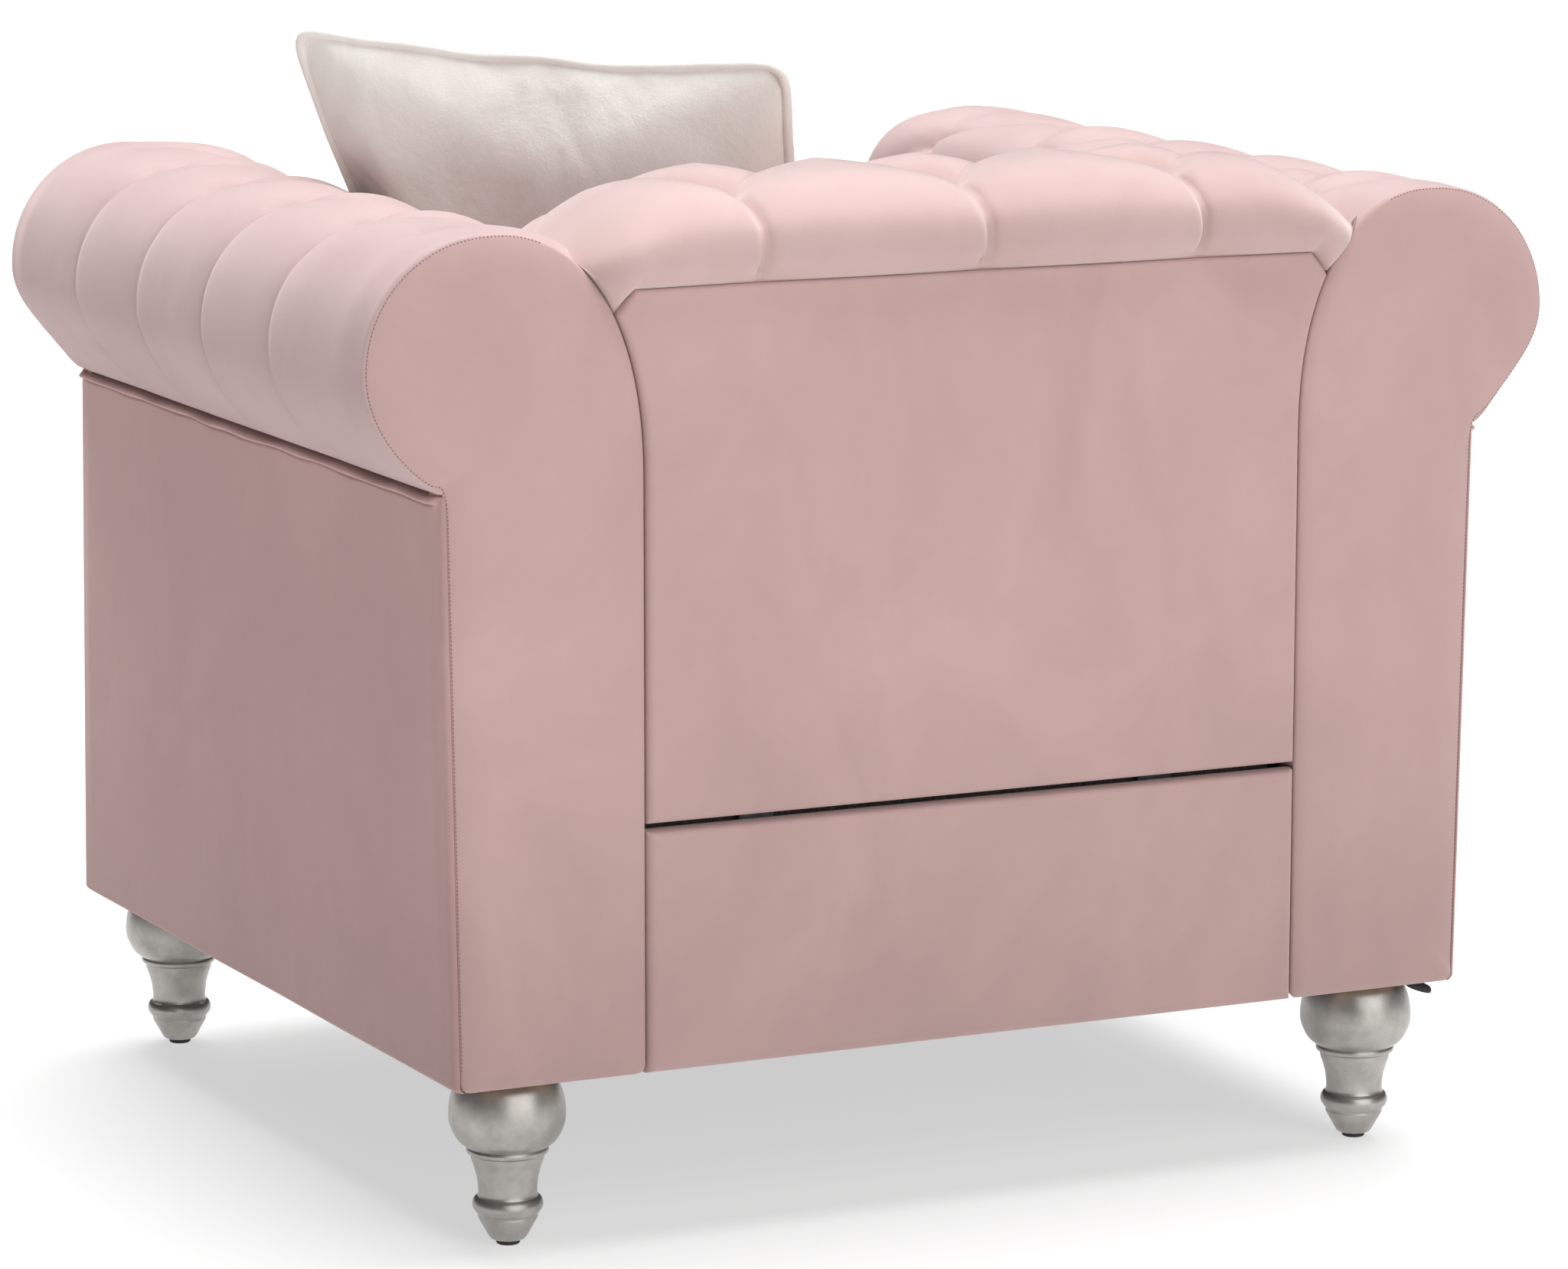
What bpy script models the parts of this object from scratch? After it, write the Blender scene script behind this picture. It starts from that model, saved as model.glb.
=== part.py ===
"""Rolled-arm tufted armchair with a lift-off back, a loose seat cushion and a throw pillow.

+X is the sitter's left, -Y the front, +Z up. The origin is on the floor under the chair's middle.
Metres throughout.
"""

import math

import bmesh
import bpy
from mathutils import Matrix, Vector

# ---- driving dimensions -------------------------------------------------------------------------
DEPTH = 0.840            # front facing to rear panel
BODY_Z = 0.139           # underside of the upholstered body
DECK_Z = 0.337           # top of the seat deck
SEAT_Z = 0.475           # top of the loose seat cushion
ARM_IN = 0.2915          # inner wall of an arm
ARM_OUT = 0.4605         # outer wall of an arm, under its roll
ARM_FOOT_OUT = {"front": 0.4665, "rear": 0.4525}    # outer wall of an arm at its foot
NECK_Z = 0.607           # underside of the roll
ROLL_X = 0.420           # middle of the roll
ROLL_Z = 0.703
ROLL_R = 0.1025
ROLL_SAG = 0.0045        # how far the roll has settled low on its outer side
SLUMP_START = -2         # degrees round the roll: where it starts to settle,
SLUMP_FULL = -42         # where it has settled most,
SLUMP_EASES = -48        # where that lessens again,
SLUMP_END = -66          # to this share of it
SLUMP_LOSS = 0.5
SLUMP_NECK = -62         # where the roll meets the neck
ROLL_STEPS = 14
INNER_STEPS = 10            # facets of the scroll on its inner side
INNER_POWER = 2.3           # how square the inner side's curve is; 2 would be an ellipse
BACK_IN = 0.200          # front of the inside back at the deck
BACK_SEAM_Z = 0.757      # seam between the outside back panel and the top roll
BACK_TOP = 0.838         # crest of the back's top roll
LIFT_GAP = 0.0055        # dark gap between the rear rail cover and the back unit
LEG_PLACES = {"front": (0.393, -0.372), "rear": (0.387, 0.362)}
LEG_TOP = 0.1361

GAP = 0.0003             # between pieces that touch
PADDING = 0.0145         # cover and padding over the end boards and rails
PLY = 0.0177             # plywood boards
FOAM = 0.046             # foam on the inside of an arm
SHEET = 0.0015           # bracket steel
STRAP = 0.0025           # tongue of a slide bracket
STRAP_X = 0.180
BORE_PLAY = 0.0003       # radial clearance round the bolts and glide pins
BOLT_R = 0.004
PIN_R = 0.0015
SPRING_WIRE_R = 0.0019
SPRING_X = (-0.24, -0.12, 0.0, 0.12, 0.24)
MERGE = 0.00001
THROUGH = 0.010          # how far cutters and drills run past what they cut
SOFT_EDGE = 0.003        # rounding of the rail covers

HALF_DEPTH = DEPTH / 2
END_Y = HALF_DEPTH - PADDING          # outer face of the end boards
PAD_Y = END_Y - GAP - PLY - GAP       # end of what lies between the end boards
SILL_Z = BODY_Z + 0.0015              # underside of the wooden frame
BOX_X = ARM_IN - GAP                  # half width of what stands between the arms
INNER_X = ARM_IN + FOAM               # inner face of an arm's wooden frame
OUTER_X = ARM_OUT - 0.0113            # inner face of an arm's outside panel

SIDES = {"left": 1, "right": -1}
ENDS = {"front": -1, "rear": 1}


# ---- scene, materials and collections -----------------------------------------------------------
def clear_scene():
    for old in list(bpy.data.objects):
        bpy.data.objects.remove(old, do_unlink=True)


def new_collection(name):
    group = bpy.data.collections.new(name)
    bpy.context.scene.collection.children.link(group)
    return group


def material(name, colour, roughness, metallic=0.0, sheen=0.0):
    made = bpy.data.materials.new(name)
    made.use_nodes = True
    shader = made.node_tree.nodes["Principled BSDF"]
    shader.inputs["Base Color"].default_value = (*colour, 1.0)
    shader.inputs["Roughness"].default_value = roughness
    shader.inputs["Metallic"].default_value = metallic
    shader.inputs["Sheen Weight"].default_value = sheen
    made.diffuse_color = (*colour, 1.0)
    return made


clear_scene()
CHAIR = new_collection("rolled_arm_chair")
CUTTERS = new_collection("cutters")

VELVET = ("velvet", (0.62, 0.36, 0.34), 0.85, 0.0, 0.6)
PLUSH = ("plush", (0.80, 0.75, 0.69), 0.90, 0.0, 0.5)
SILVER = ("silver_paint", (0.50, 0.49, 0.47), 0.35, 0.9)
BLACK_PLASTIC = ("black_plastic", (0.02, 0.02, 0.02), 0.5)
BLACK_STEEL = ("black_steel", (0.03, 0.03, 0.03), 0.45, 0.8)
ZINC = ("zinc_steel", (0.60, 0.61, 0.62), 0.40, 1.0)
PLYWOOD = ("plywood", (0.55, 0.40, 0.25), 0.70)
CAMBRIC = ("black_cambric", (0.03, 0.03, 0.035), 0.95)
FELT = ("deck_felt", (0.35, 0.33, 0.31), 0.95)


def add(name, mesh, look, location=(0, 0, 0), group=None):
    """Links one sub-part with a material of its own."""
    made = bpy.data.objects.new(name, mesh)
    made.location = location
    (group or CHAIR).objects.link(made)
    if look:
        mesh.materials.clear()
        mesh.materials.append(material(f"{name}_{look[0]}", *look[1:]))
    return made


def smooth(obj, angle=35):
    obj.data.shade_smooth()
    obj.data.set_sharp_from_angle(angle=math.radians(angle))
    return obj


# ---- shape helpers ------------------------------------------------------------------------------
def box(name, low, high, look, bevel=0.0, segments=1, group=None):
    """A block between two corners, with rounded edges when bevel is given."""
    size = Vector(high) - Vector(low)
    bm = bmesh.new()
    bmesh.ops.create_cube(bm, size=1.0, matrix=Matrix.Diagonal((*size, 1.0)))
    mesh = bpy.data.meshes.new(name)
    bm.to_mesh(mesh)
    bm.free()
    made = add(name, mesh, look, (Vector(high) + Vector(low)) / 2, group)
    if bevel:
        rounding = made.modifiers.new("rounding", "BEVEL")
        rounding.width = bevel
        rounding.segments = segments
        rounding.limit_method = "NONE"
    return made


def as_mesh(curve_object, name, look, group=None):
    """Turns a curve object into a welded mesh object in its place."""
    depsgraph = bpy.context.evaluated_depsgraph_get()
    mesh = bpy.data.meshes.new_from_object(curve_object.evaluated_get(depsgraph))
    mesh.name = name
    bm = bmesh.new()
    bm.from_mesh(mesh)
    bmesh.ops.remove_doubles(bm, verts=bm.verts, dist=MERGE)
    bmesh.ops.recalc_face_normals(bm, faces=bm.faces)
    bm.to_mesh(mesh)
    bm.free()
    placed = curve_object.matrix_world.copy()
    bpy.data.objects.remove(curve_object, do_unlink=True)
    made = add(name, mesh, look, group=group)
    made.matrix_world = placed
    return made


def extruded(name, outline, low, high, look, axis="Y", group=None):
    """Extrudes a closed outline between two heights along an axis.

    Along Y the outline is (x, z); along X it is (y, z); along Z it is (x, y).
    """
    curve = bpy.data.curves.new(name, "CURVE")
    curve.dimensions = "2D"
    curve.fill_mode = "BOTH"
    curve.extrude = (high - low) / 2
    spline = curve.splines.new("POLY")
    spline.points.add(len(outline) - 1)
    for point, (across, up) in zip(spline.points, outline):
        point.co = (across, up, 0.0, 1.0)
    spline.use_cyclic_u = True
    made = bpy.data.objects.new(name, curve)
    CHAIR.objects.link(made)
    middle = (high + low) / 2
    quarter = math.radians(90)
    turns = {
        "X": (Vector((middle, 0, 0)), Matrix.Rotation(quarter, 4, "Z") @ Matrix.Rotation(quarter, 4, "X")),
        "Y": (Vector((0, middle, 0)), Matrix.Rotation(quarter, 4, "X")),
        "Z": (Vector((0, 0, middle)), Matrix.Identity(4)),
    }
    place, turn = turns[axis]
    made.matrix_world = Matrix.Translation(place) @ turn
    bpy.context.view_layer.update()
    return as_mesh(made, name, look, group)


def turned(name, profile, look, location, steps=20):
    """Turns a (radius, height) profile, listed top to bottom down its outer side, about Z."""
    mesh = bpy.data.meshes.new(name)
    edges = [(i, i + 1) for i in range(len(profile) - 1)]
    mesh.from_pydata([(radius, 0.0, height) for radius, height in profile], edges, [])
    made = add(name, mesh, look, location)
    screw = made.modifiers.new("turning", "SCREW")
    screw.steps = steps
    screw.render_steps = steps
    screw.use_merge_vertices = True
    screw.merge_threshold = MERGE
    return made


def wire(name, points, radius, look):
    """A round wire through the points, with closed ends."""
    curve = bpy.data.curves.new(name, "CURVE")
    curve.dimensions = "3D"
    curve.bevel_depth = radius
    curve.bevel_resolution = 2
    curve.use_fill_caps = True
    spline = curve.splines.new("POLY")
    spline.points.add(len(points) - 1)
    for point, place in zip(spline.points, points):
        point.co = (*place, 1.0)
    made = bpy.data.objects.new(name, curve)
    CHAIR.objects.link(made)
    bpy.context.view_layer.update()
    return as_mesh(made, name, look)


def lofted(name, rings, look):
    """Skins a row of rings that have the same number of points, with flat ends."""
    bm = bmesh.new()
    rows = [[bm.verts.new(point) for point in ring] for ring in rings]
    count = len(rings[0])
    for near, far in zip(rows, rows[1:]):
        for i in range(count):
            j = (i + 1) % count
            bm.faces.new((near[i], near[j], far[j], far[i]))
    bm.faces.new(rows[0])
    bm.faces.new(rows[-1])
    bmesh.ops.recalc_face_normals(bm, faces=bm.faces)
    mesh = bpy.data.meshes.new(name)
    bm.to_mesh(mesh)
    bm.free()
    return add(name, mesh, look)


def cut(target, cutter):
    """Takes the cutter's shape out of the target."""
    cutter.hide_render = True
    cutter.display_type = "WIRE"
    boolean = target.modifiers.new(f"cut_{cutter.name}", "BOOLEAN")
    boolean.operation = "DIFFERENCE"
    boolean.object = cutter
    return target


def drill(target, name, centre, radius, low, high):
    """A round vertical hole through the target."""
    bm = bmesh.new()
    bmesh.ops.create_cone(
        bm, cap_ends=True, segments=16, radius1=radius, radius2=radius, depth=high - low)
    mesh = bpy.data.meshes.new(name)
    bm.to_mesh(mesh)
    bm.free()
    return cut(target, add(name, mesh, None, (*centre, (high + low) / 2), CUTTERS))


def offset(outline, distance):
    """Moves each point of a clockwise outline inwards by a distance, along its mitre."""
    moved = []
    for i, here in enumerate(outline):
        before = Vector(outline[i - 1])
        after = Vector(outline[(i + 1) % len(outline)])
        here = Vector(here)
        into = (here - before).normalized()
        out = (after - here).normalized()
        normal_in = Vector((into.y, -into.x))
        normal_out = Vector((out.y, -out.x))
        mitre = (normal_in + normal_out).normalized()
        moved.append(tuple(here + mitre * distance / max(mitre.dot(normal_in), 0.5)))
    return moved


# ---- outlines -----------------------------------------------------------------------------------
def slump(turn):
    """Share of the roll's sag at an angle round it, in degrees: most low on its outer side."""
    rise = min(max((SLUMP_START - turn) / (SLUMP_START - SLUMP_FULL), 0), 1)
    fall = min(max((SLUMP_EASES - turn) / (SLUMP_EASES - SLUMP_END), 0), 1)
    return rise * rise * (3 - 2 * rise) * (1 - SLUMP_LOSS * fall * fall * (3 - 2 * fall))


def scroll_top(neck_z=NECK_Z, sag=ROLL_SAG):
    """The arm's scroll, clockwise from its inner wall over the top to its neck, as (x, z)."""
    wide = ROLL_X - ARM_IN
    tall = ROLL_Z + ROLL_R - NECK_Z
    inner = []
    for i in range(INNER_STEPS):
        turn = math.radians(90 * i / INNER_STEPS)
        across = wide * math.cos(turn) ** (2 / INNER_POWER)
        up = tall * math.sin(turn) ** (2 / INNER_POWER)
        inner.append((ROLL_X - across, NECK_Z + up))
    outer = []
    for i in range(ROLL_STEPS + 1):
        turn = 90 - (90 - SLUMP_NECK) * i / ROLL_STEPS
        radius = ROLL_R - sag * slump(turn)
        outer.append((ROLL_X + radius * math.cos(math.radians(turn)),
                      ROLL_Z + radius * math.sin(math.radians(turn))))
    return inner + outer + [(ARM_OUT, neck_z)]


def arm_outline(end, sag=ROLL_SAG):
    """The whole end of an arm, clockwise from the foot of its inner wall."""
    return [(ARM_IN, BODY_Z)] + scroll_top(sag=sag) + [(ARM_FOOT_OUT[end], BODY_Z)]


def mirrored(outline, side):
    return [(side * x, z) for x, z in outline]


def arm_inner_x(height):
    """How far out the arm's inner wall stands at a height."""
    if height <= NECK_Z:
        return ARM_IN
    wide = ROLL_X - ARM_IN
    tall = ROLL_Z + ROLL_R - NECK_Z
    up = min((height - NECK_Z) / tall, 1.0)
    return ROLL_X - wide * (1 - up ** INNER_POWER) ** (1 / INNER_POWER)


# ---- legs ---------------------------------------------------------------------------------------
LEG_PROFILE = [
    (0.0365, LEG_TOP), (0.0420, 0.1280), (0.0452, 0.1168), (0.0464, 0.1055), (0.0448, 0.0950),
    (0.0398, 0.0850), (0.0325, 0.0785), (0.0315, 0.0737), (0.0285, 0.0694), (0.0264, 0.0630),
    (0.0236, 0.0520), (0.0233, 0.0412), (0.0240, 0.0388), (0.0278, 0.0325), (0.0238, 0.0249),
    (0.0226, 0.0215), (0.0192, 0.0152), (0.0152, 0.0065), (0.0107, 0.0036)]
PIN_TOP = 0.016
BOLT_LOW = 0.092
BOLT_HIGH = 0.176
GLIDE_R = 0.0095
GLIDE_TOP = 0.0033
GLIDE_EDGE = 0.0008
PLATE_HALF = 0.030
PLATE_LOW = LEG_TOP + GAP
PLATE_HIGH = BODY_Z - GAP


def leg(name, x, y):
    """One turned leg with a blind bore for its hanger bolt and one for the glide's pin."""
    bolt_bore = [(0.0, BOLT_LOW - GAP), (BOLT_R + BORE_PLAY, BOLT_LOW - GAP), (BOLT_R + BORE_PLAY, LEG_TOP)]
    foot_z = LEG_PROFILE[-1][1]
    pin_bore = [(PIN_R + BORE_PLAY, foot_z), (PIN_R + BORE_PLAY, PIN_TOP + GAP), (0.0, PIN_TOP + GAP)]
    smooth(turned(f"leg_{name}", bolt_bore + LEG_PROFILE + pin_bore, SILVER, (x, y, 0)))
    glide = [(0.0, PIN_TOP), (PIN_R, PIN_TOP), (PIN_R, GLIDE_TOP), (GLIDE_R, GLIDE_TOP),
             (GLIDE_R, GLIDE_EDGE), (GLIDE_R - GLIDE_EDGE, 0.0), (0.0, 0.0)]
    turned(f"glide_{name}", glide, BLACK_PLASTIC, (x, y, 0), steps=16)
    plate = box(f"leg_plate_{name}", (x - PLATE_HALF, y - PLATE_HALF, PLATE_LOW),
                (x + PLATE_HALF, y + PLATE_HALF, PLATE_HIGH), BLACK_STEEL)
    drill(plate, f"plate_hole_{name}", (x, y), BOLT_R + BORE_PLAY, PLATE_LOW - THROUGH, PLATE_HIGH + THROUGH)
    bolt = [(0.0, BOLT_HIGH), (BOLT_R, BOLT_HIGH), (BOLT_R, BOLT_LOW), (0.0, BOLT_LOW)]
    turned(f"hanger_bolt_{name}", bolt, ZINC, (x, y, 0), steps=12)


def legs():
    for side, sign in SIDES.items():
        for end, (x, y) in LEG_PLACES.items():
            leg(f"{end}_{side}", sign * x, y)


# ---- arms ---------------------------------------------------------------------------------------
SILL_TOP = 0.186
RAIL_LOW = 0.575
RAIL_PLAY = 0.0012       # clears the outside panel, which leans in towards its foot
BOARD_INSET = 0.002      # the end boards stand this far inside the facings' outline
BOARD_SAG = 0.0115       # and further in low on the roll, where the padding has settled
SILL_INSET = 0.0123      # from the foot of the outside panel to the sill


def arm(side, sign):
    """Both end boards and facings, the sill and top rail, the padding and the outside panel."""
    for end, y_sign in ENDS.items():
        outline = arm_outline(end)
        face = sorted((y_sign * HALF_DEPTH, y_sign * (END_Y + GAP)))
        board = sorted((y_sign * END_Y, y_sign * (PAD_Y + GAP)))
        extruded(f"arm_facing_{end}_{side}", mirrored(outline, sign), *face, VELVET)
        cut_back = offset(arm_outline(end, BOARD_SAG), BOARD_INSET)
        inset = [(x, max(z, SILL_Z)) for x, z in cut_back]
        extruded(f"arm_board_{end}_{side}", mirrored(inset, sign), *board, PLYWOOD)

    across = sorted((sign * (INNER_X + GAP), sign * (OUTER_X - RAIL_PLAY)))
    box(f"arm_top_rail_{side}", (across[0], -PAD_Y, RAIL_LOW), (across[1], PAD_Y, NECK_Z - GAP), PLYWOOD)
    foot = sorted((sign * (INNER_X + GAP), sign * (ARM_FOOT_OUT["rear"] - SILL_INSET)))
    sill = box(f"arm_sill_{side}", (foot[0], -PAD_Y, SILL_Z), (foot[1], PAD_Y, SILL_TOP), PLYWOOD)
    for end, (x, y) in LEG_PLACES.items():
        drill(sill, f"sill_hole_{end}_{side}", (sign * x, y), BOLT_R + BORE_PLAY,
              SILL_Z - THROUGH, BOLT_HIGH + GAP)

    padding = [(ARM_IN, SILL_Z)] + scroll_top() + [(INNER_X, NECK_Z), (INNER_X, SILL_Z)]
    extruded(f"arm_pad_{side}", mirrored(padding, sign), -PAD_Y, PAD_Y, VELVET)

    skin = ARM_OUT - OUTER_X
    rings = []
    for end, y_sign in ENDS.items():
        foot_x = ARM_FOOT_OUT[end]
        ring = [(OUTER_X, NECK_Z - GAP), (ARM_OUT, NECK_Z - GAP), (foot_x, SILL_Z), (foot_x - skin, SILL_Z)]
        rings.append([(sign * x, y_sign * PAD_Y, z) for x, z in ring])
    lofted(f"arm_panel_outside_{side}", rings, VELVET)


# ---- seat box -----------------------------------------------------------------------------------
RAIL_TOP = 0.320
SIDE_RAIL_IN = 0.267
COVER_TOP = DECK_Z + 0.0015 - LIFT_GAP
DECK_REAR = 0.374
CLOTH = 0.0012           # thickness of the dust cover
CLOTH_INSET = 0.014      # from the foot of the outside panel to its edge


def seat_box():
    """Four rails, their front and rear covers, the springs, the deck pad and the dust cover."""
    inner_y = END_Y - GAP - PLY
    box("seat_rail_front", (-BOX_X, -END_Y + GAP, SILL_Z), (BOX_X, -inner_y, RAIL_TOP), PLYWOOD)
    box("seat_rail_rear", (-BOX_X, inner_y, SILL_Z), (BOX_X, END_Y - GAP, RAIL_TOP), PLYWOOD)
    for side, sign in SIDES.items():
        across = sorted((sign * SIDE_RAIL_IN, sign * BOX_X))
        box(f"seat_rail_{side}", (across[0], -inner_y + GAP, SILL_Z),
            (across[1], inner_y - GAP, RAIL_TOP), PLYWOOD)
    box("seat_cover_front", (-BOX_X, -HALF_DEPTH, BODY_Z), (BOX_X, -END_Y, DECK_Z), VELVET, SOFT_EDGE)
    box("seat_cover_rear", (-BOX_X, END_Y, BODY_Z), (BOX_X, HALF_DEPTH, COVER_TOP), VELVET, SOFT_EDGE)
    for number, x in enumerate(SPRING_X, 1):
        sinuous_spring(f"seat_spring_{number}", x, inner_y)
    deck_low = RAIL_TOP + GAP + 2 * SPRING_WIRE_R + 2 * GAP
    box("seat_deck_pad", (-BOX_X, -END_Y + GAP, deck_low), (BOX_X, DECK_REAR, DECK_Z - GAP), FELT)
    dust_cover()


def sinuous_spring(name, x, inner_y):
    """One zig-zag spring from the front rail's top to the rear rail's top."""
    half_loops = 11
    steps = 4
    swing = 0.022
    reach = inner_y + 0.008
    height = RAIL_TOP + GAP + SPRING_WIRE_R
    count = half_loops * steps
    points = []
    for i in range(count + 1):
        wave = math.sin(math.pi * i / steps)
        points.append((x + swing * wave, -reach + 2 * reach * i / count, height))
    wire(name, points, SPRING_WIRE_R, ZINC)


def dust_cover():
    """The cloth under the whole body, with a hole for each hanger bolt."""
    low = SILL_Z - GAP - CLOTH
    edge_x = ARM_FOOT_OUT["rear"] - CLOTH_INSET
    edge_y = PAD_Y
    cloth = box("dust_cover", (-edge_x, -edge_y, low), (edge_x, edge_y, low + CLOTH), CAMBRIC)
    for side, sign in SIDES.items():
        for end, (x, y) in LEG_PLACES.items():
            drill(cloth, f"cover_hole_{end}_{side}", (sign * x, y), BOLT_R + BORE_PLAY,
                  low - THROUGH, low + THROUGH)


# ---- back unit ----------------------------------------------------------------------------------
FRAME_FRONT = 0.300
FRAME_REAR = 0.380
FRAME_TOP = 0.7365
FRAME_X = 0.283
RAIL_H = 0.046
POST_W = 0.040
BACK_LOW = DECK_Z + 0.0015
PAD_SIDE_X = 0.345
STRAP_LOW = 0.262
STRAP_HIGH = 0.372
STRAP_HALF = 0.015
POCKET_LOW = 0.240
POCKET_HIGH = 0.312
POCKET_PLAY = 0.0005     # of a tongue in its pocket
POCKET_FLANGE = 0.014
CORNER_CUT = 0.013       # the outside panel's upper corners
ROLL_DROOP = [(0.10, 0.001), (0.19, 0.004), (0.25, 0.011), (0.29, 0.024), (0.32, 0.040),
              (PAD_SIDE_X, 0.056)]    # (distance from the middle, drop of the top roll)


def back_profile(droop):
    """The back pad's side view (y, z): inside back, top roll, rear seam and the frame's recess."""
    front = [(BACK_IN, BACK_LOW), (0.204, 0.480), (0.214, 0.600), (0.224, 0.700), (0.232, 0.750)]
    roll = [(0.243, 0.787), (0.262, 0.814), (0.286, 0.831), (0.312, BACK_TOP), (0.340, 0.834),
            (0.366, 0.820), (0.390, 0.799), (0.409, 0.775), (HALF_DEPTH, BACK_SEAM_Z)]
    recess = [(END_Y - GAP, BACK_SEAM_Z), (END_Y - GAP, FRAME_TOP + GAP),
              (FRAME_FRONT - GAP, FRAME_TOP + GAP), (FRAME_FRONT - GAP, BACK_LOW)]
    lowered = [(y, z - droop * (z - BACK_SEAM_Z) / (BACK_TOP - BACK_SEAM_Z)) if z > BACK_SEAM_Z else (y, z)
               for y, z in roll]
    return front + lowered + recess


def back_unit(axis):
    """The back's frame, its brackets' tongues, the pad with the top roll, and the outside panel."""
    pieces = []
    for side, sign in SIDES.items():
        across = sorted((sign * FRAME_X, sign * (FRAME_X - POST_W)))
        pieces.append(box(f"back_post_{side}", (across[0], FRAME_FRONT, BACK_LOW + RAIL_H + GAP),
                          (across[1], FRAME_REAR, FRAME_TOP - RAIL_H - GAP), PLYWOOD))
        x = sign * STRAP_X
        pieces.append(box(f"back_bracket_tongue_{side}", (x - STRAP_HALF, FRAME_REAR + GAP, STRAP_LOW),
                          (x + STRAP_HALF, FRAME_REAR + GAP + STRAP, STRAP_HIGH), ZINC))
    for name, low in (("bottom", BACK_LOW), ("top", FRAME_TOP - RAIL_H)):
        pieces.append(box(f"back_rail_{name}", (-FRAME_X, FRAME_FRONT, low),
                          (FRAME_X, FRAME_REAR, low + RAIL_H), PLYWOOD))

    stations = [(-x, droop) for x, droop in reversed(ROLL_DROOP)] + [(0.0, 0.0)] + ROLL_DROOP
    pad = lofted("back_pad", [[(x, y, z) for y, z in back_profile(droop)] for x, droop in stations], VELVET)
    for side, sign in SIDES.items():
        outline = [(BOX_X, BODY_Z - THROUGH)] + offset(scroll_top(), -2 * GAP)
        outline = outline + [(ARM_OUT, BODY_Z - THROUGH)]
        cutter = extruded(f"arm_clearance_{side}", mirrored(outline, sign), -DEPTH, DEPTH, None,
                          group=CUTTERS)
        cut(pad, cutter)
    pieces.append(smooth(pad))

    flare = [BACK_LOW, NECK_Z, 0.625, 0.650, 0.675, 0.700, 0.720, 0.7365]
    right = [(arm_inner_x(z) - 2 * GAP, z) for z in flare]
    chamfer = (right[-1][0] - CORNER_CUT, BACK_SEAM_Z - GAP)
    outline = right + [chamfer] + [(-chamfer[0], chamfer[1])] + [(-x, z) for x, z in reversed(right)]
    panel = extruded("back_panel_outside", outline, END_Y, HALF_DEPTH, VELVET)
    pieces.append(panel)
    for piece in pieces:
        carry(piece, axis)


def bracket_pockets():
    """The two fixed hat-section pockets on the rear rail that the back's tongues drop into."""
    rail_y = END_Y - GAP - PLY
    for side, sign in SIDES.items():
        x = sign * STRAP_X
        inner = STRAP_HALF + POCKET_PLAY
        brim = inner + POCKET_FLANGE
        web = FRAME_REAR + GAP - POCKET_PLAY
        flange = rail_y - GAP
        hat = [(brim, flange), (inner, flange), (inner, web), (-inner, web), (-inner, flange),
               (-brim, flange), (-brim, flange - SHEET), (-inner - SHEET, flange - SHEET),
               (-inner - SHEET, web - SHEET), (inner + SHEET, web - SHEET),
               (inner + SHEET, flange - SHEET), (brim, flange - SHEET)]
        extruded(f"back_bracket_pocket_{side}", [(x + a, b) for a, b in hat], POCKET_LOW, POCKET_HIGH,
                 ZINC, axis="Z")


# ---- loose pieces -------------------------------------------------------------------------------
PILLOW_TOP_LEFT = Vector((0.373, -0.100, 0.922))
PILLOW_TOP_RIGHT = Vector((0.065, 0.196, 0.903))
PILLOW_LOW_LEFT = Vector((0.243, -0.150, 0.492))
PILLOW_LOW_RIGHT = Vector((-0.030, 0.120, 0.486))
PILLOW_THICK = 0.120
PILLOW_HOLLOW = 0.026    # how far each edge curves in between its corners
PILLOW_EDGE = 0.05       # thickness at the seam, as a share of the whole
CUSHION_PLAY = 0.003
CUSHION_ROUND = 0.016


def pillow(axis):
    """A square pillow: a bowed sheet between four corners, thickened most in the middle."""
    cells = 10
    bm = bmesh.new()
    bmesh.ops.create_grid(bm, x_segments=cells, y_segments=cells, size=1.0)
    mesh = bpy.data.meshes.new("throw_pillow")
    weights = []
    across = (PILLOW_TOP_LEFT - PILLOW_TOP_RIGHT).normalized()
    up = (PILLOW_TOP_LEFT - PILLOW_LOW_LEFT).normalized()
    for vertex in bm.verts:
        s, t = vertex.co.x, vertex.co.y
        top = PILLOW_TOP_RIGHT.lerp(PILLOW_TOP_LEFT, (s + 1) / 2)
        low = PILLOW_LOW_RIGHT.lerp(PILLOW_LOW_LEFT, (s + 1) / 2)
        place = low.lerp(top, (t + 1) / 2)
        place -= across * PILLOW_HOLLOW * s * (1 - t * t)
        place -= up * PILLOW_HOLLOW * t * (1 - s * s)
        vertex.co = place
        weights.append(((1 - s * s) * (1 - t * t)) ** 0.65)
    bm.to_mesh(mesh)
    bm.free()
    made = add("throw_pillow", mesh, PLUSH)
    fullness = made.vertex_groups.new(name="fullness")
    for index, weight in enumerate(weights):
        fullness.add([index], max(weight, PILLOW_EDGE), "REPLACE")
    padding = made.modifiers.new("padding", "SOLIDIFY")
    padding.thickness = PILLOW_THICK
    padding.offset = 0.0
    padding.vertex_group = "fullness"
    carry(smooth(made, 60), axis)


def seat_cushion(axis):
    """The loose box cushion."""
    made = box("seat_cushion", (-BOX_X + CUSHION_PLAY, -HALF_DEPTH + CUSHION_PLAY, DECK_Z),
               (BOX_X - CUSHION_PLAY, BACK_IN - CUSHION_PLAY, SEAT_Z), VELVET, CUSHION_ROUND, 3)
    carry(smooth(made), axis)


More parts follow.
